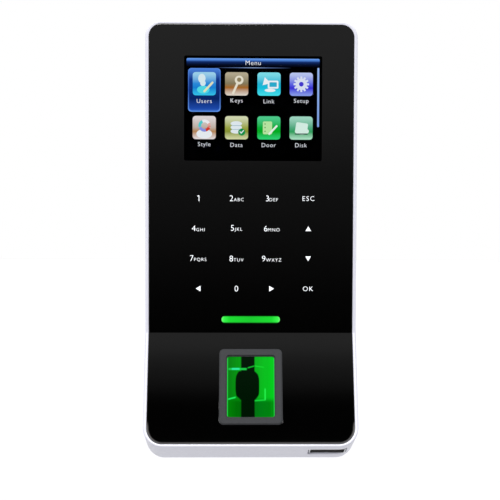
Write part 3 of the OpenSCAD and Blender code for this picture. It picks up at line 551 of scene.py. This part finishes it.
ICON = 8.5 * MM
ICON_ROUND = 1.1 * MM
ICON_PITCH = 11.86 * MM
ICON_SHIFT = 0.1 * MM
UPPER_ROW = 9.1 * MM
LOWER_ROW = -6.9 * MM
PICK_WIDTH = 11.9 * MM
PICK_HEIGHT = 15.9 * MM
PICK_DROP = 2.25 * MM
PICK_FRAME = 0.7 * MM
PICK_ROUND = 1.2 * MM
icon_x = [screen_x + (i - 1.5) * ICON_PITCH - ICON_SHIFT for i in range(4)]
icon_z = [screen_z + UPPER_ROW, screen_z + LOWER_ROW]
pick_z = icon_z[0] - PICK_DROP
pick_blue = lit("selected_tile_blue", pick_z - PICK_HEIGHT / 2, pick_z + PICK_HEIGHT / 2,
                [(0.0, "#3c74d8"), (0.08, "#1f4cae"), (0.3, "#0c2766"), (0.75, "#143a8e"), (1.0, "#4f8ae8")])
pick_edge = lit("selected_tile_edge", pick_z - PICK_HEIGHT / 2, pick_z + PICK_HEIGHT / 2,
                [(0.0, "#6aa0f6"), (0.5, "#2c58b4"), (1.0, "#5c90ea")])
PICKS = [("edge", 0, pick_edge, layer[0]), ("tile", PICK_FRAME, pick_blue, layer[1])]
for part, shrink, tone, depth in PICKS:
    show_tile(f"screen_selected_{part}", PICK_WIDTH - shrink, PICK_HEIGHT - shrink, PICK_ROUND, tone,
              icon_x[0], pick_z, depth)

# The eight icons. Each has a glossy tile, light above and below a darker middle, and a pale symbol on it. The
# four colours of a tile run from its foot to its top.
SYMBOL_REACH = 4 * MM
white_glow = lit("symbol_white", icon_z[1] - SYMBOL_REACH, icon_z[0] + SYMBOL_REACH,
                 [(0.0, "#eef6f8"), (1.0, "#ffffff")])
ICONS = [
    ("users", ("#39d2f6", "#1b86dc", "#2f94e4", "#a6dcf4")),
    ("keys", ("#efe6d6", "#b06c22", "#8d815f", "#bfb294")),
    ("link", ("#4ceef6", "#17cbe6", "#25bede", "#86eaf2")),
    ("setup", ("#98acf6", "#3a2be0", "#6a72ec", "#c4d0fa")),
    ("style", ("#f3ecea", "#c08a52", "#cdbcae", "#ece2de")),
    ("data", ("#e6eab2", "#8f9a32", "#a7b04c", "#dfe4b8")),
    ("door", ("#36e07c", "#04b41e", "#08b83a", "#52d690")),
    ("disk", ("#bdf2d2", "#2fa85e", "#58b486", "#a8e2c8"))]
for i, (name, (foot, low, mid, top)) in enumerate(ICONS):
    z = icon_z[i // 4]
    gloss = lit(f"icon_{name}_gloss", z - ICON / 2, z + ICON / 2,
                [(0.0, foot), (0.34, low), (0.52, mid), (0.92, top), (1.0, top)])
    show_tile(f"screen_icon_{name}", ICON, ICON, ICON_ROUND, gloss, icon_x[i % 4], z, layer[2])


def symbol(name, number, parts, colour=None, depth=layer[3]):
    """A symbol on icon number. Its parts are drawn in millimetres: (maker, x, y, sizes and turns)."""
    bm = bmesh.new()
    for maker, *sizes in parts:
        maker(bm, *sizes)
    bmesh.ops.scale(bm, vec=(MM, MM, MM), verts=bm.verts)
    tone = white_glow
    if colour:
        tone = lit(f"symbol_{name}", icon_z[1] - ICON, icon_z[0] + ICON, [(0.0, colour), (1.0, colour)])
    show(f"screen_symbol_{name}", bm, tone, icon_x[number % 4], icon_z[number // 4], depth)


symbol("head", 0, [(disc, -0.9, 1.9, 1.35, 1.25), (disc, -0.5, 0.2, 1.0, 1.1)], "#e4f6f8")
symbol("shoulders", 0, [(disc, -0.4, -2.2, 2.3, 0.62)], "#58e6ee")
symbol("pencil", 0, [(tile, 1.5, -1.2, 5.0, 0.75, 0.2, 47)], "#f6f0c0", layer[4])
symbol("key", 1, [(disc, 0.9, 1.4, 1.6), (tile, -0.5, -1.6, 4.6, 0.85, 0.2, 66)], "#f4ecd4")
symbol("key_hole", 1, [(disc, 0.9, 1.5, 0.8)], "#9a8a64", layer[4])
symbol("dish", 2, [(disc, -1.1, 0.8, 1.75, 1.0, 3, 15), (disc, 0.4, -2.3, 2.0, 0.3)])
symbol("monitor", 2, [(tile, 1.5, -0.2, 3.9, 2.9, 0.4)])
symbol("monitor_glass", 2, [(tile, 1.5, -0.2, 2.7, 1.7, 0.2)], "#2fb6d6", layer[4])
symbol("gear", 3, [(disc, 0, 0, 2.1)] + [
    (tile, 2.3 * math.cos(math.radians(a)), 2.3 * math.sin(math.radians(a)), 1.1, 0.75, 0.15, a)
    for a in range(0, 360, 30)], "#e6ecfb")
symbol("gear_hole", 3, [(disc, 0, 0, 0.85)], "#4a3cd8", layer[4])
symbol("style_base", 4, [(disc, 0, -2.3, 2.9, 0.6)], "#f6fafa")
# The colour wheel on the fifth icon: pieces of a ring, each with its colour and the angle where it starts
WHEEL_INNER = 1.2 * MM
WHEEL_OUTER = 2.25 * MM
WHEEL_SWEEP = 86
WHEEL_RIGHT = 0.1 * MM
WHEEL_UP = 0.7 * MM
STYLES = [("cyan", "#52d6d6", 110), ("blue", "#8f9cec", 200), ("red", "#e23a2c", 270),
          ("pink", "#f0b4a8", 330), ("white", "#fafafa", 30)]
for name, colour, start in STYLES:
    bm = bmesh.new()
    arc(bm, WHEEL_INNER, WHEEL_OUTER, start, WHEEL_SWEEP)
    ring_tone = lit(f"style_ring_{name}", icon_z[1] - ICON, icon_z[1] + ICON, [(0.0, colour), (1.0, colour)])
    show(f"screen_style_ring_{name}", bm, ring_tone, icon_x[0] + WHEEL_RIGHT, icon_z[1] + WHEEL_UP, layer[4])

symbol("disks", 5, [(disc, -0.1, y, 2.1, 0.42) for y in (1.5, 0.1, -1.3)], "#eef6f8")
symbol("disk_gaps", 5, [(tile, -0.1, y, 3.3, 0.22, 0.1) for y in (0.75, -0.65)], "#9cc0cc", layer[4])
symbol("check_disc", 5, [(disc, 1.9, -1.6, 1.3)], "#0f9a4c", layer[4])
symbol("door_panel", 6, [(tile, -0.5, 0, 3.4, 4.7, 0.5)], "#c4f2a8")
symbol("door_dots", 6, [(disc, -1.4, y, 0.22) for y in (1.4, 0.1, -1.3)], "#12803a", layer[4])
symbol("door_pen", 6, [(tile, 1.5, -0.8, 4.6, 0.7, 0.2, 47)], "#f2fff0", layer[4])
symbol("drive", 7, [(tile, 0.2, 0.2, 4.4, 3.4, 0.5, -8), (disc, 0.3, -1.2, 2.6, 0.5)], "#e2fbec")
symbol("drive_foot", 7, [(tile, 0.1, -2.2, 4.7, 0.4, 0.1)], "#123c34", layer[4])

# The green disc's check mark, the heading and the icons' names, in plain white lettering
bm = bmesh.new()
tile(bm, -0.35 * MM, -0.15 * MM, 1.0 * MM, 0.32 * MM, 0.05 * MM, -45)
tile(bm, 0.25 * MM, 0.1 * MM, 1.6 * MM, 0.32 * MM, 0.05 * MM, 50)
show("screen_check_mark", bm, white_glow, icon_x[1] + 1.9 * MM, icon_z[1] - 1.6 * MM, layer[4] - 0.04 * MM)
LABEL_DROP = 6.3 * MM
LABEL_HEIGHT = 1.6 * MM
HEADING_HEIGHT = 1.75 * MM
HEADING_DROP = 0.1 * MM
label_white = lit("label_white", screen_z - 19 * MM, screen_z + 19 * MM,
                  [(0.0, "#e9ecf2"), (1.0, "#ffffff")], strength=1.15)
LABELS = [("Menu", screen_x, title_z - HEADING_DROP, HEADING_HEIGHT)] + [
    (text, icon_x[i % 4], icon_z[i // 4] - LABEL_DROP, LABEL_HEIGHT)
    for i, text in enumerate(("Users", "Keys", "Link", "Setup", "Style", "Data", "Door", "Disk"))]
for text, x, z, cap_height in LABELS:
    bm = bmesh.new()
    lettering(bm, text, cap_height, 0, thin=0.014, spacing=1.12)
    label = piece(f"screen_label_{text.lower()}", centred(bm), label_white,
                  on_face(upper_face, x, z, -layer[3]))
    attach(label, "terminal")


# ---- Status light bar ----
# A moulded light pipe of clear green acrylic with a frosted back, lit by four LEDs on a strip behind it.
# The ends, where the light runs out, are the brightest and the long edges are dimmer. The frosting makes the
# glow slightly uneven, drawn here at 0.5 mm.
BAR_END = 0.7 * MM
BAR_LIT = 0.85 * MM
BAR_DIM = 1.2 * MM
bar_green, tree, shader, place = finish_of(
    "lit_green_light_pipe", Base_Color=linear("#0a5a14"), Roughness=0.18, IOR=1.49, Emission_Strength=0.9)
across = add(tree, "SeparateXYZ", Vector=place)
from_middle = add(tree, "Math", operation="ABSOLUTE", i0=across.outputs["X"])
toward_end = add(tree, "MapRange", Value=from_middle, i1=0.0, i2=bar_high.x - BAR_END)
frost = add(tree, "TexNoise", Vector=place, Scale=1 / (0.5 * MM), Detail=2.0)
uneven = add(tree, "MapRange", Value=frost, i3=-0.04, i4=0.04)
along_bar = add(tree, "Math", operation="ADD", i0=toward_end, i1=uneven)
greens = add(tree, "ValToRGB", Fac=along_bar, stops=[
    (0.0, "#06b41e"), (0.72, "#0acb22"), (0.92, "#34ea46"), (1.0, "#78fc7c")])
bar_middle = (bar_low.z + bar_high.z) / 2
from_bar = add(tree, "Math", operation="SUBTRACT", i0=across.outputs["Z"], i1=bar_middle)
off_bar = add(tree, "Math", operation="ABSOLUTE", i0=from_bar)
dimming = add(tree, "MapRange", interpolation_type="SMOOTHSTEP", Value=off_bar,
              i1=BAR_LIT, i2=BAR_DIM, i3=1.0, i4=0.15)
bar_light = add(tree, "Mix", data_type="RGBA", blend_type="MULTIPLY", i0=1.0, i6=greens, i7=dimming)
tree.links.new(bar_light.outputs[2], shader.inputs["Emission Color"])
dress(bar_green, "light_bar_lens")


# ---- Fingerprint sensor bezel ----
# A frame of dark grey ABS round the finger window, moulded in a spark-eroded tool and snapped into the panel.
# It stands 0.4 mm proud, with small radii outside and a sloped inner edge that guides the finger.
BEZEL_EDGE = 0.12 * MM
SPARK = 0.3
# The spark texture scatters the light, so the grey stays even and dull; its pits are drawn at 0.3 mm
bezel_grey, tree, shader, place = finish_of(
    "spark_textured_grey_abs", Roughness=0.8, IOR=1.52, Specular_IOR_Level=0.3)
pits = add(tree, "TexNoise", Vector=place, Scale=1 / (SPARK * MM), Detail=4.0)
add(tree, "ValToRGB", Fac=pits, stops=[(0.3, "#1e1f21"), (0.7, "#292a2d")], to=shader.inputs["Base Color"])
add(tree, "Bump", Height=pits, Strength=0.35, Distance=0.03 * MM, to=shader.inputs["Normal"])
bezel = piece("fingerprint_bezel", softened("sensor_bezel", [
    (between_faces(looks_forward, is_wall), BEZEL_EDGE, 3)]), bezel_grey)
weigh_normals(bezel)
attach(bezel, "terminal")
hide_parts("sensor_bezel")

# A ring of black closed-cell foam, pressed into the gap round the bezel just under the panel's face: a dark
# sheet that stands in for the shade in that gap. It gives back no light, so the gap reads as a thin black
# line.
SEAL_GAP = 0.09 * MM
SEAL_TUCK = 0.4 * MM
SEAL_DEPTH = 0.35 * MM
SEAL_THICKNESS = 0.2 * MM
BEZEL_CORNER = 1.7 * MM
gap_shade_foam, tree, shader, place = finish_of("black_gap_shade_foam", Roughness=0.95, IOR=1.5, Specular_IOR_Level=0.1)
seal_cells = add(tree, "TexNoise", Vector=place, Scale=1 / (0.2 * MM), Detail=3.0)
add(tree, "ValToRGB", Fac=seal_cells, stops=[(0.3, "#050505"), (0.7, "#0b0b0b")],
    to=shader.inputs["Base Color"])
outline = [lower_face.inverted() @ v.co for v in nodes["sensor_bezel"].data.vertices]
left, right = min(v.x for v in outline), max(v.x for v in outline)
foot, head = min(v.z for v in outline), max(v.z for v in outline)
bm = bmesh.new()
for grow in (SEAL_GAP, -SEAL_TUCK):
    tile(bm, 0, 0, right - left + 2 * grow, head - foot + 2 * grow, BEZEL_CORNER + grow)
bmesh.ops.delete(bm, geom=bm.faces[:], context="FACES_ONLY")
bmesh.ops.bridge_loops(bm, edges=bm.edges)
extruded(bm, bm.faces[:], SEAL_THICKNESS)
gap_shade_ring = piece("bezel_gap_shade_ring", bm, gap_shade_foam, lower_face @ Matrix.Translation(
    ((left + right) / 2, SEAL_DEPTH, (foot + head) / 2)) @ UPRIGHT)
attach(gap_shade_ring, "terminal")


# ---- Finger window ----
# The polished face of the optical prism, lit from below by green LEDs. Through it the LEDs' reflectors show
# as bright side bands, and the camera's well as a dark column that widens round the lens.
SEEN_RISE = 0.7 * MM
prism_low, prism_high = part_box("sensor_prism")
window_middle = (prism_low.z + prism_high.z) / 2 + SEEN_RISE
# Millimetres from the middle of what is seen: the well's middle and where its soft edge starts and ends, the
# lens's middle and its half size each way, and the window's half width. The lens is a squarish oval.
WELL = (-1.06, 2.25, 2.7)
LENS_MIDDLE = (-1.24, 0.6)
LENS_HALF = (4.4, 5.2)
SQUARENESS = 3.5
WINDOW_HALF = 8.6
GLINT_FADE = 0.6

# Polished glass filled with green light: nearly black where it is unlit, its edges rippled every 3.2 mm
prism_green, tree, shader, place = finish_of(
    "lit_green_prism_glass", Base_Color=linear("#000200"), Roughness=0.04, IOR=1.52, Specular_IOR_Level=0.1,
    Emission_Strength=1.0)
spot = add(tree, "SeparateXYZ", Vector=place)
x_mm = add(tree, "Math", operation="MULTIPLY", i0=spot.outputs["X"], i1=1 / MM)
z_mm = add(tree, "MapRange", clamp=False, Value=spot.outputs["Z"], i1=window_middle, i2=window_middle + MM)
ripple = add(tree, "TexNoise", Vector=place, Scale=1 / (3.2 * MM), Detail=2.0)
stray = add(tree, "MapRange", Value=ripple, i3=-1.2, i4=1.2)
rippled_z = add(tree, "Math", operation="ADD", i0=z_mm, i1=stray)


def away_from(value, middle, near, far, at_middle=0.0, outside=1.0):
    """Turns smoothly from one value at the middle to another outside, from near to far off the middle."""
    offset = add(tree, "Math", operation="SUBTRACT", i0=value, i1=middle)
    distance = add(tree, "Math", operation="ABSOLUTE", i0=offset)
    return add(tree, "MapRange", interpolation_type="SMOOTHSTEP", Value=distance, i1=near, i2=far,
               i3=at_middle, i4=outside)


def along_stretch(value, start, risen, falling, end):
    """1 from risen to falling, and smoothly down to 0 at start and at end."""
    rise = add(tree, "MapRange", interpolation_type="SMOOTHSTEP", Value=value, i1=start, i2=risen)
    fall = add(tree, "MapRange", interpolation_type="SMOOTHSTEP", Value=value, i1=falling, i2=end,
               i3=1.0, i4=0.0)
    return add(tree, "Math", operation="MULTIPLY", i0=rise, i1=fall)


def off_lens(value, middle, half):
    """How far a place is off the lens one way. The two ways add up to 1 on the lens's edge."""
    offset = add(tree, "Math", operation="SUBTRACT", i0=value, i1=middle)
    share = add(tree, "Math", operation="DIVIDE", i0=offset, i1=half)
    size = add(tree, "Math", operation="ABSOLUTE", i0=share)
    return add(tree, "Math", operation="POWER", i0=size, i1=SQUARENESS)


# The dark well and lens stand before streaked bands, which are brighter in the upper part than in the lower
off_well = away_from(x_mm, *WELL)
oval = add(tree, "Math", operation="ADD", i0=off_lens(x_mm, LENS_MIDDLE[0], LENS_HALF[0]),
           i1=off_lens(rippled_z, LENS_MIDDLE[1], LENS_HALF[1]))
off_oval = add(tree, "MapRange", interpolation_type="SMOOTHSTEP", Value=oval, i1=0.8, i2=1.1)
open_glass = add(tree, "Math", operation="MULTIPLY", i0=off_well, i1=off_oval)
side = add(tree, "MapRange", Value=x_mm, i1=-WINDOW_HALF, i2=WINDOW_HALF)
streaks = add(tree, "TexNoise", noise_dimensions="1D", W=x_mm, Scale=0.9, Detail=2.0)
waver = add(tree, "MapRange", Value=streaks, i3=-0.12, i4=0.12)
band = add(tree, "Math", operation="ADD", i0=side, i1=waver)
upper_greens = add(tree, "ValToRGB", Fac=band, stops=[
    (0.0, "#067c12"), (0.25, "#05960f"), (0.45, "#0a9a18"), (0.7, "#0ab91e"), (0.9, "#06c41e"),
    (1.0, "#02d01c")])
lower_greens = add(tree, "ValToRGB", Fac=band, stops=[
    (0.0, "#028206"), (0.2, "#006e05"), (0.45, "#03640a"), (0.7, "#007d14"), (0.9, "#00820f"),
    (1.0, "#02980f")])
turn = add(tree, "MapRange", interpolation_type="SMOOTHSTEP", Value=z_mm, i1=-5.6, i2=-3.4)
greens = add(tree, "Mix", data_type="RGBA", i0=turn, i6=lower_greens, i7=upper_greens)
glass = add(tree, "Mix", data_type="RGBA", i0=open_glass, i6=linear("#001203"), i7=greens.outputs[2])


def laid_over(under, amount, colour):
    """A colour laid over what is under it, by amount."""
    return add(tree, "Mix", data_type="RGBA", i0=amount, i6=under.outputs[2], i7=linear(colour))


# Thin bright lines where a reflector's edge catches the light. Each runs from one X to another and has its
# height at X = 0, its slope, its width and its colour.
GLINTS = [
    (-8.4, -1.2, 6.3, 0.0, 0.55, "#1ccc48"), (-7.2, -3.8, 6.35, 0.0, 0.5, "#30f0a4"),
    (-1.4, 1.6, 7.02, 0.27, 0.34, "#12b42c"), (1.2, 5.1, 7.6, -0.14, 0.34, "#14d42c"),
    (-8.5, -5.2, -2.3, 0.24, 0.4, "#20f060"), (1.2, 5.6, -4.9, 0.07, 0.4, "#16d23a")]
for x0, x1, z0, slope, width, colour in GLINTS:
    line = add(tree, "Math", operation="MULTIPLY_ADD", i0=x_mm, i1=slope, i2=z0)
    near = away_from(z_mm, line, 0.3 * width, width, 1.0, 0.0)
    between = along_stretch(x_mm, x0, x0 + GLINT_FADE, x1 - GLINT_FADE, x1)
    amount = add(tree, "Math", operation="MULTIPLY", i0=near, i1=between)
    glass = laid_over(glass, amount, colour)

# One more glint stands upright at the right, and the glass's side rims are bright
upright = away_from(x_mm, 5.2, 0.12, 0.42, 1.0, 0.0)
tall = along_stretch(z_mm, -4.8, -4.3, -1.0, -0.2)
glass = laid_over(glass, add(tree, "Math", operation="MULTIPLY", i0=upright, i1=tall), "#24ee4a")
glass = laid_over(glass, away_from(x_mm, 0.0, 8.15, 8.45), "#1ed844")
tree.links.new(glass.outputs[2], shader.inputs["Emission Color"])
dress(prism_green, "sensor_prism")


# ---- USB socket ----
# A type A socket: a folded shell of nickel-plated steel round a brown nylon tongue with four gilt contacts.
# It looks out of the slanted base, set 0.4 mm back in its opening.
# Nickel plate is a cool bright mirror, blurred along the lines that the sheet was drawn in (shown at 0.12 mm)
nickel, tree, shader, place = finish_of("nickel_plated_steel", Metallic=1.0, Roughness=0.26)
drawn = add(tree, "Mapping", Vector=place, i3=(0.15, 1.0, 1.0))
lines = add(tree, "TexNoise", Vector=drawn, Scale=1 / (0.12 * MM), Detail=2.0)
add(tree, "ValToRGB", Fac=lines, stops=[(0.3, "#c4c6ca"), (0.7, "#dcdee2")], to=shader.inputs["Base Color"])
add(tree, "Bump", Height=lines, Strength=0.15, Distance=0.005 * MM, to=shader.inputs["Normal"])
dress(nickel, "usb_shell", "cover_screws", "lock_screw", "bracket_screws", "sensor_screws", "board_screws",
      "lcd_frame", "backup_battery", "speaker_magnet", "tamper_spring", "reset_switch")

# Moulded nylon with glass fibres in it: a dark brown with fine paler specks and a low sheen
nylon_brown, tree, shader, place = finish_of("glass_filled_nylon", Roughness=0.45, IOR=1.53)
fibres = add(tree, "TexNoise", Vector=place, Scale=1 / (0.2 * MM), Detail=3.0)
add(tree, "ValToRGB", Fac=fibres, stops=[(0.3, "#171210"), (0.7, "#261d19")], to=shader.inputs["Base Color"])
dress(nylon_brown, "usb_tongue")

# A thin flash of gold over nickel: a warm yellow mirror, a little paler where it is worn
gilt, tree, shader, place = finish_of("gold_flashed_contacts", Metallic=1.0, Roughness=0.24)
wear = add(tree, "TexNoise", Vector=place, Scale=1 / (0.3 * MM), Detail=2.0)
add(tree, "ValToRGB", Fac=wear, stops=[(0.3, "#c59a3a"), (0.7, "#e0bd66")], to=shader.inputs["Base Color"])
dress(gilt, "usb_contacts", "header_pins")


# ---- Black rear cover ----
# The back shell, moulded in black ABS with a fine leather-like spark texture, screwed to the front housing
# from behind. It is set in a little, so the terminal's edge looks thinner than it is.
COVER_RADIUS = 0.5 * MM
GRAIN = 0.35
# The texture scatters the light, so the black reads as a soft very dark grey; its grain is drawn at 0.35 mm
black_abs, tree, shader, place = finish_of("spark_textured_black_abs", Roughness=0.55, IOR=1.52)
grain = add(tree, "TexNoise", Vector=place, Scale=1 / (GRAIN * MM), Detail=5.0)
add(tree, "ValToRGB", Fac=grain, stops=[(0.3, "#17181a"), (0.7, "#232427")], to=shader.inputs["Base Color"])
add(tree, "Bump", Height=grain, Strength=0.45, Distance=0.04 * MM, to=shader.inputs["Normal"])
dress(black_abs, "lcd_bracket", "battery_holder", "sensor_body", "sensor_lens_barrel",
      "speaker_frame", "tamper_switch")
cover = piece("black_rear_cover", softened("rear_cover", [
    (between_faces(looks_back, looks_outward), COVER_RADIUS, 3)], join_flats=False), black_abs)
weigh_normals(cover)
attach(cover, "terminal")
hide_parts("rear_cover")


# ---- Wall plate and lock nut ----
# The plate is 1.2 mm zinc-plated sheet steel, pressed, with four hooks bent out of it; the lock nut is brass.
# Zinc leaves a cool satin grey with faint crystal patches about 6 mm across and rolling lines 0.3 mm apart.
SPANGLE = 6
zinc, tree, shader, place = finish_of("zinc_plated_steel", Metallic=0.9, Roughness=0.4)
crystals = add(tree, "TexVoronoi", Vector=place, Scale=1 / (SPANGLE * MM))
add(tree, "ValToRGB", Fac=crystals.outputs["Color"], stops=[(0.2, "#a9acb0"), (0.8, "#b2b5b9")],
    to=shader.inputs["Base Color"])
rolled = add(tree, "Mapping", Vector=place, i3=(1.0, 1.0, 0.06))
rolling = add(tree, "TexNoise", Vector=rolled, Scale=1 / (0.3 * MM), Detail=3.0)
add(tree, "MapRange", Value=rolling, i3=0.32, i4=0.48, to=shader.inputs["Roughness"])
add(tree, "Bump", Height=rolling, Strength=0.12, Distance=0.01 * MM, to=shader.inputs["Normal"])
dress(zinc, "wall_plate")

# Turned brass: a warm yellow metal with fine rings 0.1 mm apart
brass, tree, shader, place = finish_of("turned_brass", Metallic=1.0, Roughness=0.3)
turning = add(tree, "TexWave", Vector=place, wave_type="RINGS", Scale=BAND / (0.1 * MM), Distortion=1.0)
add(tree, "ValToRGB", Fac=turning, stops=[(0.0, "#b08d4a"), (1.0, "#c9a964")], to=shader.inputs["Base Color"])
dress(brass, "lock_nut")


# ---- Plastics, films and foams inside ----
# Moulded, die-cut and laminated pieces that only show when the terminal is opened. Each is one plain
# material whose surface varies a little: its darker and paler shade, its roughness, the size of its grain in
# millimetres and the strength of its relief.
INSIDE = [
    ("foam_tape", "#141414", "#202020", 0.9, 0.4, 0.5, ("panel_gasket", "lcd_gasket")),
    ("white_moulded_nylon", "#d4d6d6", "#e4e6e5", 0.45, 0.8, 0.15,
     ("lcd_backlight", "keypad_light_guide", "flat_cable_sockets", "wiring_headers", "tamper_plunger")),
    ("amber_polyimide_film", "#8a5716", "#a56c22", 0.25, 1.2, 0.1, ("lcd_cable", "keypad_cable")),
    ("white_flat_cable", "#d6d3c8", "#e4e1d7", 0.4, 0.5, 0.2, ("sensor_cable", "usb_cable")),
    ("led_package", "#dcdcb4", "#f0f0d4", 0.25, 0.6, 0.05, ("light_bar_leds", "keypad_leds")),
    ("green_led_package", "#3cc45a", "#62e07c", 0.25, 0.6, 0.05, ("sensor_leds",)),
    ("black_chip_epoxy", "#141416", "#1f2023", 0.5, 0.3, 0.2,
     ("processor", "memory_chips", "touch_controller", "image_sensor")),
    ("moulded_ferrite", "#2c2c2e", "#3c3c3f", 0.6, 0.3, 0.4, ("power_inductors",)),
    ("blue_relay_case", "#27446f", "#31517f", 0.35, 1.5, 0.1, ("lock_relay",)),
    ("treated_paper_cone", "#161617", "#262628", 0.8, 0.3, 0.6, ("speaker_cone",)),
    ("amber_button_cap", "#b98a2c", "#cf9f3e", 0.35, 0.6, 0.1, ("reset_button",))]
for name, dark, pale, roughness, size, relief_strength, members in INSIDE:
    material, tree, shader, place = finish_of(name, Roughness=roughness, IOR=1.5)
    mottle = add(tree, "TexNoise", Vector=place, Scale=1 / (size * MM), Detail=3.0)
    add(tree, "ValToRGB", Fac=mottle, stops=[(0.3, dark), (0.7, pale)], to=shader.inputs["Base Color"])
    add(tree, "Bump", Height=mottle, Strength=relief_strength, Distance=0.02 * MM, to=shader.inputs["Normal"])
    dress(material, *members)


# ---- Circuit boards, cans and lens ----
# Glass-epoxy boards under a green solder mask, drawn aluminium cans on the main board, and the sensor's small
# polished lens.
TRACK = 0.8
# Under the mask's gloss the copper tracks show as slightly raised, paler lines about 0.8 mm apart
mask_green, tree, shader, place = finish_of("green_solder_mask", Roughness=0.28, IOR=1.5)
cells = add(tree, "TexVoronoi", Vector=place, Scale=1 / (6 * TRACK * MM), distance="MANHATTAN",
            Randomness=0.6)
tracks = add(tree, "Math", operation="PINGPONG", i0=cells.outputs["Distance"], i1=0.12)
line = add(tree, "MapRange", Value=tracks, i1=0.05, i2=0.08)
add(tree, "ValToRGB", Fac=line, stops=[(0.0, "#15472a"), (1.0, "#1f6339")], to=shader.inputs["Base Color"])
add(tree, "Bump", Height=line, Strength=0.3, Distance=0.03 * MM, to=shader.inputs["Normal"])
dress(mask_green, "mainboard", "keypad_board", "light_bar_board", "sensor_board", "usb_board")

# Deep-drawn aluminium: a pale soft mirror with lines along the can
can, tree, shader, place = finish_of("drawn_aluminium_can", Metallic=1.0, Roughness=0.3)
drawing = add(tree, "Mapping", Vector=place, i3=(1.0, 0.08, 1.0))
draw_lines = add(tree, "TexNoise", Vector=drawing, Scale=1 / (0.15 * MM), Detail=2.0)
add(tree, "ValToRGB", Fac=draw_lines, stops=[(0.3, "#c2c5c9"), (0.7, "#dadce0")],
    to=shader.inputs["Base Color"])
dress(can, "capacitors")

# Polished glass with a breath of dust, so its shine is almost unbroken
lens_glass, tree, shader, place = finish_of(
    "polished_lens_glass", Base_Color=linear("#dfe8ef"), Transmission_Weight=1.0, IOR=1.52)
dust = add(tree, "TexNoise", Vector=place, Scale=1 / (0.5 * MM), Detail=3.0)
add(tree, "MapRange", Value=dust, i3=0.0, i4=0.05, to=shader.inputs["Roughness"])
dress(lens_glass, "sensor_lens")


# ---- Studio: floor, sky and lights ----
# A plain pale floor well below the terminal, an even white surround, and one large soft light from the
# front. A graded card far in front, seen only in reflections, gives the glossy panel its soft grey fade.
FLOOR_Z = -300 * MM
FLOOR_HALF = 30.0
ROLLER = 100 / 3
# Matt paint, rolled on: an even pale grey with marks about 33 mm across
floor_paint, tree, shader, place = finish_of("pale_floor_paint", Roughness=0.9)
roller_marks = add(tree, "TexNoise", Vector=place, Scale=1 / (ROLLER * MM), Detail=2.0)
add(tree, "ValToRGB", Fac=roller_marks, stops=[(0.3, "#b3b3b6"), (0.7, "#b8b8bb")],
    to=shader.inputs["Base Color"])
bm = bmesh.new()
bmesh.ops.create_grid(bm, x_segments=2, y_segments=2, size=FLOOR_HALF,
                      matrix=Matrix.Translation((0, 0, FLOOR_Z)))
floor = piece("floor", bm, floor_paint)
floor.visible_glossy = False

world = bpy.data.worlds.new("white_surround")
scene.world = world
world.use_nodes = True
surround = world.node_tree.nodes["Background"]
surround.inputs["Color"].default_value = linear("#ffffff")
surround.inputs["Strength"].default_value = 1.0

SUN_ENERGY = 4.9
SUN_WIDTH = 20
SUN_TILT = 40
SUN_SWING = -12
sun_data = bpy.data.lights.new("key_light", "SUN")
sun_data.energy = SUN_ENERGY
sun_data.angle = math.radians(SUN_WIDTH)
sun = bpy.data.objects.new("key_light", sun_data)
sun.rotation_euler = (math.radians(SUN_TILT), 0, math.radians(SUN_SWING))
scene.collection.objects.link(sun)

# The card glows in greys that grow paler upwards. Its low stretch shows in the panel's upper plane and its
# high stretch in the lower one, and the dark band between the two shows in neither.
CARD_Y = -2.0
CARD_LOW = -1.5
CARD_HIGH = 1.1
CARD_HALF = 1.6
card_light = bpy.data.materials.new("graded_card")
card_light.use_nodes = True
tree = card_light.node_tree
tree.nodes.clear()
height = add(tree, "SeparateXYZ", Vector=add(tree, "TexCoord").outputs["Object"])
along = add(tree, "MapRange", Value=height.outputs["Z"], i1=CARD_LOW, i2=CARD_HIGH)
SHADES = [
    (-0.4, "#000000"), (-0.35, "#0e0e0e"), (-0.267, "#262626"), (-0.163, "#444444"), (-0.074, "#575757"),
    (0.005, "#636363"), (0.06, "#6e6e6e"), (0.133, "#838383"), (0.22, "#989898"), (0.3, "#a4a4a4"),
    (0.39, "#aeaeae"), (0.48, "#aeaeae"), (0.55, "#000000"), (0.625, "#000000"), (0.645, "#0e0e0e"),
    (0.67, "#303030"), (0.695, "#545454"), (0.72, "#696969"), (0.745, "#767676"), (0.78, "#8e8e8e"),
    (0.805, "#a6a6a6"), (0.83, "#b0b0b0"), (0.95, "#b4b4b4")]
fade = add(tree, "ValToRGB", Fac=along, stops=[
    ((z - CARD_LOW) / (CARD_HIGH - CARD_LOW), shade) for z, shade in SHADES])
emitter = add(tree, "Emission", Color=fade, Strength=1.0)
add(tree, "OutputMaterial", Surface=emitter)
bm = bmesh.new()
bmesh.ops.create_grid(bm, x_segments=1, y_segments=1, size=1.0, matrix=(
    Matrix.Translation((0, CARD_Y, (CARD_LOW + CARD_HIGH) / 2)) @ UPRIGHT
    @ Matrix.Diagonal((CARD_HALF, (CARD_HIGH - CARD_LOW) / 2, 1, 1))))
card = piece("graded_card", bm, card_light)
card.visible_camera = False
card.visible_diffuse = False
card.visible_shadow = False
